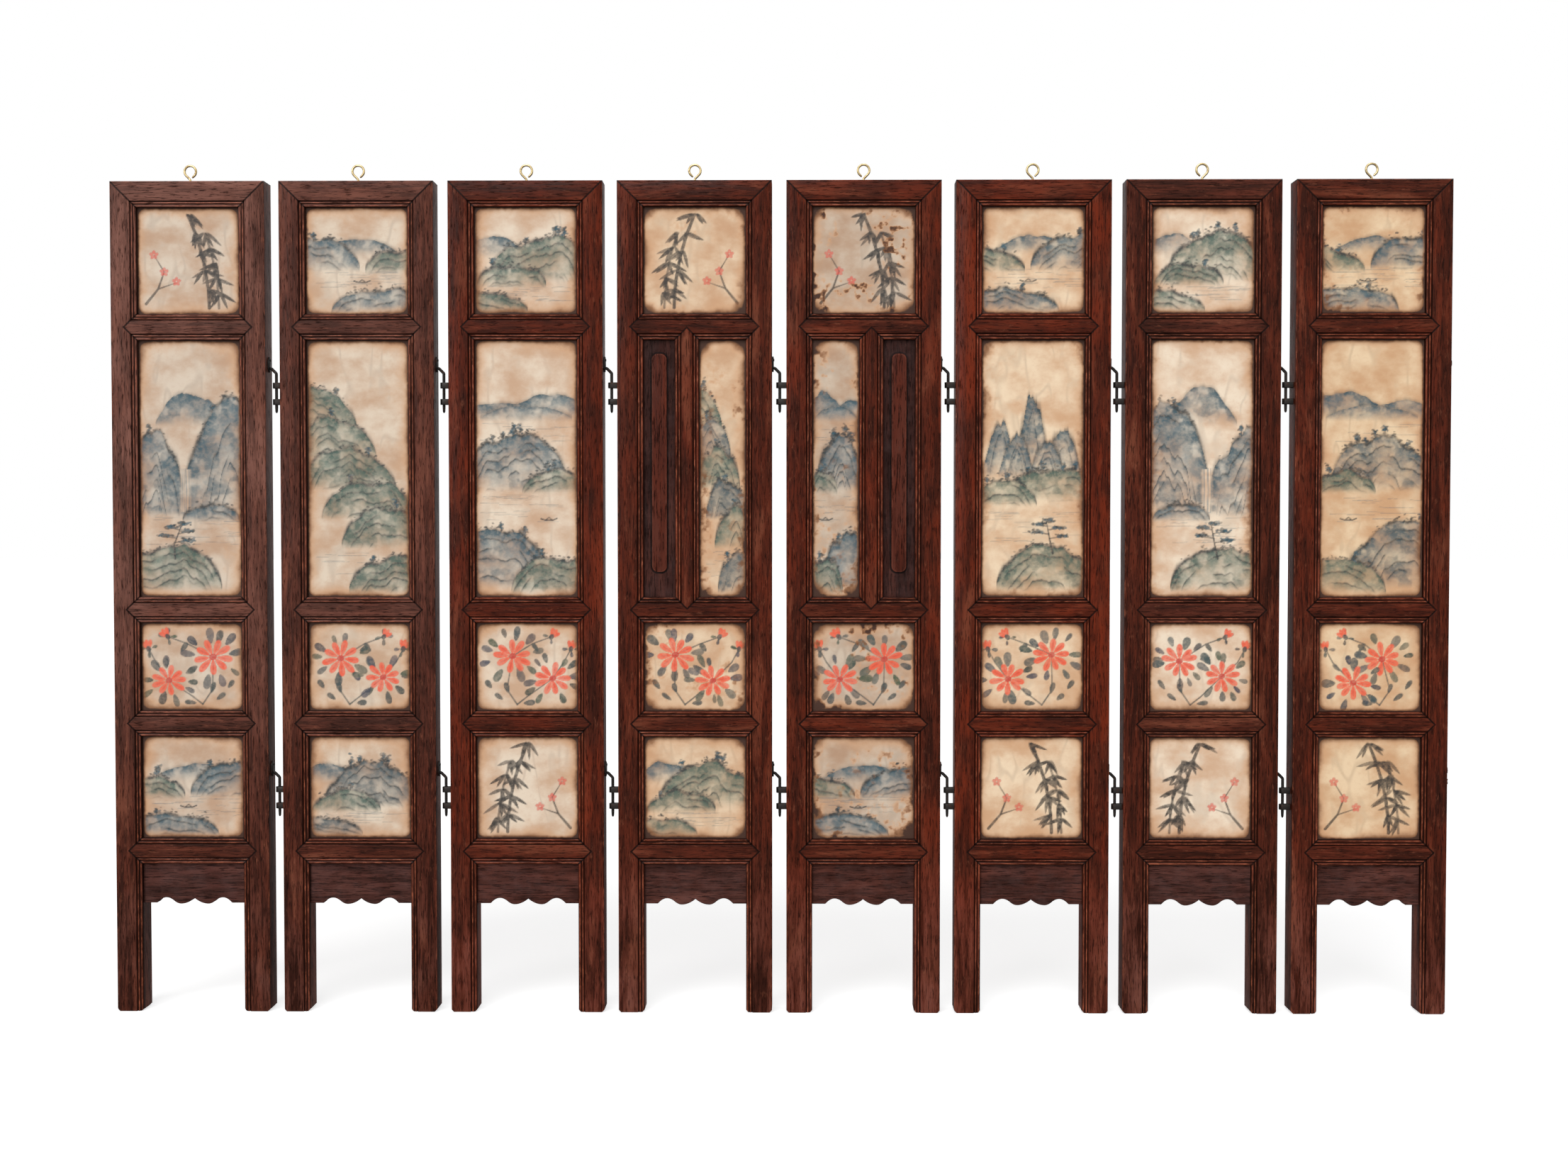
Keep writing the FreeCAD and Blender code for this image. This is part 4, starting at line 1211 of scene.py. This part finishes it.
def age_and_shade_of(picture, stain, corner_dirt_and_shade):
    """0 for clean stone to 1 for dark dirt and painted shade."""
    corner = 4.5
    a = np.abs(picture.x - picture.width / 2) - (picture.width / 2 - corner)
    b = np.abs(picture.y - picture.height / 2) - (picture.height / 2 - corner)
    within = corner - np.hypot(np.maximum(a, 0), np.maximum(b, 0)) - np.minimum(np.maximum(a, b), 0)
    wide = picture.cloud(picture.x, picture.y, 16.0, 3)
    fine = picture.cloud(picture.x, picture.y, 2.2, 3)
    within = within + (fine - 0.5) * 0.7
    halo = np.exp(-np.maximum(within, 0) / (2.4 + 5.5 * wide)) * (0.36 + 0.48 * wide)
    # A thin dark rim right beside the wood: dirt and painted shade of the recess.
    rim = np.exp(-np.maximum(within - 0.1, 0) / 0.6) * 0.6
    # Darker corners: dirt and painted shade.
    corners = smooth((np.minimum(a, b) + 5.0) / 8.0) * corner_dirt_and_shade * (0.6 + 0.8 * fine)
    patches = smooth((picture.cloud(picture.x, picture.y, 15.0, 3) - 0.42) / 0.2)
    spots = smooth((picture.cloud(picture.x, picture.y, 3.2, 5) - 0.47) / 0.3) * patches * stain
    return np.clip(halo + rim + corners + spots + 0.06 * wide, 0.0, 1.0)


print("stained plaques", list(STAINS))

# %% [markdown]
# ## Painted plaques
# A plaque is a thin slab of stone whose edges lie in the grooves of the frame. Its front starts as a grid,
# fine enough to carry the painting, over the opening. The rim that goes into the groove, the sides and the
# back need no such detail: the outer edge is extruded and scaled, extruded back, and closed.

# %% Stone finish


def make_stone():
    stone = Finish("painted_stone", Specular_IOR_Level=0.35)
    cloud = stone.noise((22.0, 22.0, 16.0), detail=4.0, roughness=0.55)
    mottle = stone.noise((2.6, 2.6, 2.2), detail=4.0, roughness=0.6)
    speck = stone.noise((0.5, 0.5, 0.5), detail=2.0)
    base = stone.mix(shown(212, 178, 150), shown(243, 229, 211), cloud.ease(0.3, 0.66))
    base = stone.mix(base, shown(218, 186, 160), mottle.ease(0.5, 0.75) * 0.25)
    vein = stone.noise((13.0, 13.0, 34.0), detail=1.0, distortion=0.3)
    vein_share = abs(vein - 0.5).ease(0.06, 0.0) * cloud.ease(0.4, 0.6) * 0.35
    base = stone.mix(base, shown(186, 168, 152), vein_share)
    base = stone.mix(base, stone.attribute("ground", "Color"), 0.7, "MULTIPLY")
    age_and_shade = stone.attribute("age_and_shade") + (mottle - 0.5) * 0.12
    colour = stone.mix(base, shown(204, 156, 116), age_and_shade.ease(0.1, 0.5) * 0.7)
    pigment = stone.attribute("painting", "Color")
    cover = stone.attribute("painting", "Alpha")
    colour = stone.mix(colour, pigment, cover * (0.8 + 0.2 * mottle.ease(0.35, 0.6)) * 0.96)
    colour = stone.mix(colour, shown(124, 78, 44), age_and_shade.ease(0.36, 0.72) * 0.85)
    # Dark brown where the value is highest, beside the wood and in the corners: dirt and painted shade.
    colour = stone.mix(colour, shown(52, 28, 20), age_and_shade.ease(0.66, 0.98) * 0.92)
    colour = stone.mix(colour, shown(120, 100, 84), speck.ease(0.66, 0.8) * 0.25)
    stone.set("Base Color", colour)
    stone.set("Roughness", 0.5 + 0.2 * age_and_shade.ease(0.2, 0.8) + 0.08 * mottle)
    stone.set("Normal", stone.bump(mottle + 0.3 * speck, 0.05, 0.5))
    return stone.material


painted_stone = make_stone()
print("stone finish", painted_stone.name)

# %% Plaques
GROUNDS = {
    1: (206, 198, 190), 2: (218, 210, 200), 3: (228, 220, 210), 4: (228, 206, 176),
    5: (190, 178, 166), 6: (242, 224, 196), 7: (244, 236, 224), 8: (234, 210, 170),
}


def slab(left, low, width, height):
    """A plaque whose front is a fine grid over its opening."""
    cells = (round(width / GRAIN), round(height / GRAIN))
    centre = Vector((left + width / 2, PLAQUE_FRONT, low + height / 2))
    bpy.ops.object.select_all(action="DESELECT")
    bpy.ops.mesh.primitive_grid_add(x_subdivisions=cells[0], y_subdivisions=cells[1], size=1.0,
                                    rotation=(math.pi / 2, 0, 0), location=centre * MM)
    piece = bpy.context.object
    piece.scale = (width * MM, height * MM, 1.0)
    settle(piece, "slab")
    edit(piece)
    bpy.ops.mesh.region_to_loop()
    bpy.ops.mesh.extrude_edges_move()
    scale = ((width + 2 * LAP) / width, 1.0, (height + 2 * LAP) / height)
    bpy.ops.transform.resize(value=scale, center_override=centre * MM)
    to_back = (0.0, (PLAQUE_BACK - PLAQUE_FRONT) * MM, 0.0)
    bpy.ops.mesh.extrude_edges_move(TRANSFORM_OT_translate={"value": to_back})
    bpy.ops.mesh.edge_face_add()
    leave()
    return piece


def colour_in(piece, left, low, picture, age_and_shade, ground):
    """Carry the painting over to the vertices of the slab's front."""
    count = len(piece.data.vertices)
    place = np.empty(count * 3)
    piece.data.vertices.foreach_get("co", place)
    place = place.reshape(-1, 3) / MM
    last_column, last_row = len(picture.across) - 1, len(picture.up) - 1
    column = np.clip(np.rint((place[:, 0] - left) / picture.width * last_column), 0, last_column)
    row = np.clip(np.rint((place[:, 2] - low) / picture.height * last_row), 0, last_row)
    spot = row.astype(int), column.astype(int)
    front = place[:, 1] < PLAQUE_FRONT + 0.1
    paint_layer = np.concatenate([picture.colour[spot], (picture.cover[spot] * front)[:, None]], axis=1)
    attributes = piece.data.attributes
    attributes.new("painting", "FLOAT_COLOR", "POINT").data.foreach_set("color", paint_layer.ravel())
    attributes.new("age_and_shade", "FLOAT", "POINT").data.foreach_set("value", np.where(front, age_and_shade[spot], 0.3))
    attributes.new("ground", "FLOAT_COLOR", "POINT").data.foreach_set("color", np.tile(ground, count))


plaques = []
for panel in PANELS:
    slabs = []
    for order, (opening, (low, height)) in enumerate(OPENINGS.items()):
        left, width = middle_of(panel) - HALF_OPENING, 2 * HALF_OPENING
        if opening == "tall" and panel in SPLIT_SIDE:
            left = left if SPLIT_SIDE[panel] > 0 else middle_of(panel) + HALF_OPENING - NARROW_WIDTH
            width = NARROW_WIDTH
        picture = Painting(width, height, 100 * panel + order)
        kind = "ink" if (panel, opening) in INK_PLAQUES else opening
        paint(picture, kind, panel, panel + order, panel in (1, 5, 6, 8))
        piece = slab(left, low, width, height)
        age_and_shade = age_and_shade_of(picture, STAINS.get((panel, opening), 0.05), CORNER_DIRT_AND_SHADE.get(panel, 0.12))
        colour_in(piece, left, low, picture, age_and_shade, shown(*GROUNDS[panel]))
        slabs.append(piece)
    piece = join(slabs, f"plaques_{panel}")
    piece.data.materials.append(painted_stone)
    tidy(piece)
    plaques.append(hand_over(piece, panel, "painted_stone", f"panel_{panel}_plaques"))
report(plaques)
print("triangles in one set of plaques", sum(len(p.vertices) - 2 for p in plaques[0].data.polygons))

# %% [markdown]
# ## Bent wire
# Screw eyes and hooks are wire. A disc stands at the wire's start, is extruded along each straight run and
# spun round a centre at each bend, and what is left behind becomes the wire's skin. The end is drawn in a
# little. One bend of a spare wire tells first which way the spin tool turns.

# %% Wire tools
WIRE_SIDES = 14


def start_wire(place, direction, radius):
    """A disc that faces along direction, ready to be extruded."""
    bpy.ops.object.select_all(action="DESELECT")
    turn = Vector(direction).to_track_quat("Z", "Y").to_euler()
    bpy.ops.mesh.primitive_circle_add(vertices=WIRE_SIDES, radius=radius * MM, fill_type="NGON",
                                      location=Vector(place) * MM, rotation=turn)
    piece = settle(bpy.context.object, "wire")
    edit(piece)
    return piece


def bend(centre, axis, degrees, steps):
    """Carry the selected end round centre. A positive angle turns as a right-hand screw does along axis."""
    angle = math.radians(degrees) * SPIN_SIGN
    bpy.ops.mesh.spin(steps=steps, angle=angle, center=Vector(centre) * MM, axis=axis)


def draw_in(step, share):
    """Extrude the end by step and shrink it, as a filed tip."""
    extrude(step)
    mesh = bmesh.from_edit_mesh(bpy.context.object.data)
    chosen = [vertex.co for vertex in mesh.verts if vertex.select]
    middle = sum(chosen, Vector()) / len(chosen)
    bpy.ops.transform.resize(value=(share, share, share), center_override=middle)


SPIN_SIGN = 1.0
probe = start_wire((10.0, 0.0, 0.0), (0.0, 1.0, 0.0), 1.0)
bend((0.0, 0.0, 0.0), (0.0, 0.0, 1.0), 90.0, 4)
leave()
if max(vertex.co.y for vertex in probe.data.vertices) < 5 * MM:
    SPIN_SIGN = -1.0
bpy.data.objects.remove(probe)
print("spin turns with sign", SPIN_SIGN)

# %% [markdown]
# ## Metal finishes
# The eyes are old yellow brass with tarnished patches; the hooks are dull black iron with brown rust in
# patches.

# %% Metal


def make_brass():
    brass = Finish("brass_wire", Metallic=1.0)
    patch = brass.noise((1.6, 1.6, 1.6), detail=4.0, roughness=0.6)
    scratch = brass.noise((0.25, 0.25, 1.4), detail=2.0)
    colour = brass.mix(shown(196, 176, 132), shown(120, 92, 54), patch.ease(0.48, 0.72) * 0.75)
    brass.set("Base Color", colour)
    brass.set("Roughness", 0.22 + 0.3 * patch.ease(0.4, 0.75) + 0.08 * scratch)
    brass.set("Normal", brass.bump(scratch, 0.03, 0.5))
    return brass.material


def make_iron():
    iron = Finish("black_iron", Metallic=0.7)
    patch = iron.noise((2.2, 2.2, 2.2), detail=5.0, roughness=0.65)
    grit = iron.noise((0.4, 0.4, 0.4), detail=3.0)
    colour = iron.mix(shown(46, 42, 40), shown(92, 60, 42), patch.ease(0.52, 0.72) * 0.6)
    iron.set("Base Color", colour)
    iron.set("Roughness", 0.48 + 0.3 * patch.ease(0.4, 0.7))
    iron.set("Normal", iron.bump(grit, 0.05, 0.7))
    return iron.material


brass_finish = make_brass()
iron_finish = make_iron()
print("metal finishes", brass_finish.name, iron_finish.name)

# %% [markdown]
# ## Screw eyes
# On top of each frame a brass eye is screwed in. Its shank leans into the left side of a ring that faces the
# front, and the ring's end stops short of the shank. Three of the eight are turned half round.

# %% Screw eyes
EYE_RADIUS = 3.25
EYE_HEIGHT = TOP + 6.5
EYE_WIRE_RADIUS = 0.65
SHANK_FOOT = TOP - 7.9
LEAN = math.sqrt(0.5)
EYES_TURNED = (4, 5, 7)
elbow = 1.5
knee = EYE_HEIGHT - EYE_RADIUS * 2 * LEAN
trim = elbow * math.tan(math.radians(22.5))
eye = start_wire((0.0, 0.0, SHANK_FOOT), (0.0, 0.0, 1.0), EYE_WIRE_RADIUS)
extrude((0.0, 0.0, knee - trim - SHANK_FOOT))
bend((-elbow, 0.0, knee - trim), (0.0, -1.0, 0.0), 45.0, 4)
slant = EYE_RADIUS * LEAN * math.sqrt(2) - trim
extrude((-slant * LEAN, 0.0, slant * LEAN))
bend((0.0, 0.0, EYE_HEIGHT), (0.0, 1.0, 0.0), 270.0, 30)
draw_in((-0.9, 0.0, -0.9), 0.85)
draw_in((-0.35, 0.0, -0.35), 0.6)
leave()
tidy(eye)
shade(eye, 50)
eye.data.materials.append(brass_finish)
eyes = []
for panel in PANELS:
    if panel in EYES_TURNED:
        turned = copy_of(eye, "turned")
        turned.data.transform(Matrix.Rotation(math.pi, 4, "Z"))
        piece = copy_of(turned, f"screw_eye_{panel}", middle_of(panel))
        bpy.data.objects.remove(turned)
    else:
        piece = copy_of(eye, f"screw_eye_{panel}", middle_of(panel))
    eyes.append(hand_over(piece, panel, "brass_wire", f"panel_{panel}_screw_eye"))
bpy.data.objects.remove(eye)
report(eyes)

# %% [markdown]
# ## Hooks and knuckles
# Each hook is a leaf nailed to the right edge of a panel, with a wire that bows out and hangs down through
# two straps bent round it, which are let into the next panel. One hook and one knuckle are modelled, copied to
# their heights as a set of two hooks or four knuckles, and the set is copied to each panel.

# %% Hooks
HOOK_MIDDLES = (368.4, 138.2)
LEAF_TALL = 8.8
LEAF_DEEP = 5.0
PIN_REACH = 4.4
PIN_ELBOW = 1.6
PIN_DROP = 27.4
HOOK_BEND = 1.3
PIN_RADIUS = 0.85


def make_leaf():
    """A pointed plate, one millimetre thick, with two nail heads."""
    bpy.ops.object.select_all(action="DESELECT")
    upright = (math.pi / 2, 0, math.pi / 2)
    bpy.ops.mesh.primitive_circle_add(vertices=6, radius=1.0, fill_type="NGON", rotation=upright)
    plate = settle(bpy.context.object, "leaf")
    for vertex in plate.data.vertices:
        across, up = vertex.co.y, vertex.co.z
        tip = abs(across) < 0.3 or abs(up) > 0.95
        vertex.co = Vector((
            HALF_PANEL,
            0.0 if tip else math.copysign(LEAF_DEEP / 2, across),
            math.copysign(LEAF_TALL / 2 if tip else LEAF_TALL / 4, up),
        )) * MM
    edit(plate)
    extrude((1.0, 0.0, 0.0))
    bpy.ops.mesh.select_all(action="SELECT")
    bpy.ops.mesh.normals_make_consistent(inside=False)
    pick_edges(lambda edge: all(vertex.co.x / MM > HALF_PANEL + 0.9 for vertex in edge.verts))
    bpy.ops.mesh.bevel(offset=0.3 * MM, segments=2, affect="EDGES")
    leave()
    parts = [plate]
    for up in (-2.2, 2.4):
        bpy.ops.object.select_all(action="DESELECT")
        bpy.ops.mesh.primitive_cylinder_add(
            vertices=12, radius=0.75 * MM, depth=0.5 * MM, rotation=(0, math.pi / 2, 0),
            location=Vector((HALF_PANEL + 1.1, 0.2, up)) * MM,
        )
        nail = settle(bpy.context.object, "nail")
        edit(nail)
        pick_edges(lambda edge: all(vertex.co.x / MM > HALF_PANEL + 1.3 for vertex in edge.verts))
        bpy.ops.mesh.bevel(offset=0.2 * MM, segments=2, affect="EDGES")
        leave()
        parts.append(nail)
    return join(parts, "leaf")


def make_hook():
    """Leaf and wire, with the leaf's middle at height 0."""
    level = -LEAF_TALL / 4
    start = HALF_PANEL + 0.5
    first = HALF_PANEL + PIN_ELBOW
    pin = HALF_PANEL + PIN_REACH
    cut = HOOK_BEND * math.tan(math.radians(22.5))
    wire = start_wire((start, 0.0, level), (1.0, 0.0, 0.0), PIN_RADIUS)
    extrude((first - cut - start, 0.0, 0.0))
    bend((first - cut, 0.0, level - HOOK_BEND), (0.0, 1.0, 0.0), 45.0, 4)
    slope = (pin - first) * math.sqrt(2) - 2 * cut
    extrude((slope * LEAN, 0.0, -slope * LEAN))
    lower_level = level - (pin - first) - cut
    bend((pin - HOOK_BEND, 0.0, lower_level), (0.0, 1.0, 0.0), 45.0, 4)
    extrude((0.0, 0.0, -PIN_DROP + 3.0 - lower_level))
    draw_in((0.0, 0.0, -2.2), 0.85)
    draw_in((0.0, 0.0, -0.8), 0.55)
    leave()
    return tidy(join([make_leaf(), wire], "hook"))


def set_of(master, heights, name):
    """Copies of one piece at several heights, as one piece."""
    made = []
    for height in heights:
        piece = copy_of(master, name)
        piece.data.transform(Matrix.Translation((0.0, 0.0, height * MM)))
        made.append(piece)
    piece = join(made, name)
    shade(piece, 45)
    piece.data.materials.append(iron_finish)
    return piece


hook = make_hook()
hook_set = set_of(hook, HOOK_MIDDLES, "hook_set")
hooks = []
for panel in PANELS[:-1]:
    piece = copy_of(hook_set, f"hooks_{panel}", middle_of(panel))
    hooks.append(hand_over(piece, panel, "black_iron", f"panel_{panel}_hinge_hooks"))
report(hooks)

# %% Knuckles
KNUCKLE_DROPS = (11.9, 21.2)
KNUCKLE_TALL = 3.2
STRAP = 0.9
KNUCKLE_INNER = 1.15
PIN_FROM_NEXT = 3.8
KNUCKLE_LEG = 5.0

bpy.ops.object.select_all(action="DESELECT")
bpy.ops.mesh.primitive_plane_add(size=1.0, rotation=(0, math.pi / 2, 0))
knuckle = bpy.context.object
knuckle.scale = (KNUCKLE_TALL * MM, STRAP * MM, 1.0)
knuckle.location = Vector((-HALF_PANEL + KNUCKLE_LEG, KNUCKLE_INNER + STRAP / 2, 0.0)) * MM
settle(knuckle, "knuckle")
edit(knuckle)
extrude((-(KNUCKLE_LEG + PIN_FROM_NEXT), 0.0, 0.0))
bend((-HALF_PANEL - PIN_FROM_NEXT, 0.0, 0.0), (0.0, 0.0, 1.0), 180.0, 12)
extrude((KNUCKLE_LEG + PIN_FROM_NEXT, 0.0, 0.0))
leave()
tidy(knuckle)
round_edges(knuckle, 0.14, 2, limit_method="ANGLE", angle_limit=math.radians(50))
knuckle_heights = [middle - drop for middle in HOOK_MIDDLES for drop in KNUCKLE_DROPS]
knuckle_set = set_of(knuckle, knuckle_heights, "knuckle_set")
knuckles = []
for panel in PANELS[1:]:
    piece = copy_of(knuckle_set, f"knuckles_{panel}", middle_of(panel))
    knuckles.append(hand_over(piece, panel, "black_iron", f"panel_{panel}_hinge_knuckles"))
report(knuckles)

# %% [markdown]
# ## Worn hinge pieces on the free edges
# The left edge of the first panel keeps four knuckles hammered flat, and the right edge of the last panel
# keeps stubs of broken hooks. They are their CAD blocks, cut into smaller cells, roughened by a seeded push
# and rounded.

# %% Remnants


def roughen(node, name, panel, seed):
    piece = clean_copy(node, name, iron_finish)
    edit(piece)
    bpy.ops.mesh.subdivide(number_cuts=3)
    leave()
    random = np.random.default_rng(seed)
    outer = max(abs(vertex.co.x / MM - middle_of(panel)) for vertex in piece.data.vertices)
    for vertex in piece.data.vertices:
        push = random.uniform(-0.28, 0.0, 3)
        away = abs(vertex.co.x / MM - middle_of(panel)) - HALF_PANEL
        if away > 0.1:
            side = math.copysign(1.0, vertex.co.x / MM - middle_of(panel))
            vertex.co.x += side * push[0] * MM
            vertex.co.y += math.copysign(1.0, vertex.co.y) * push[1] * MM
    round_edges(piece, 0.2, 2, limit_method="ANGLE", angle_limit=math.radians(50))
    shade(piece, 60)
    print(name, "stands out", round(outer - HALF_PANEL, 2), "mm")
    return hand_over(piece, panel, "black_iron", node)


remnants = [
    roughen("panel_1_hinge_knuckles", "flat_knuckles_1", 1, 5),
    roughen("panel_8_hinge_hooks", "broken_hooks_8", 8, 6),
]
for spare in (hook, hook_set, knuckle, knuckle_set):
    bpy.data.objects.remove(spare)
report(remnants)
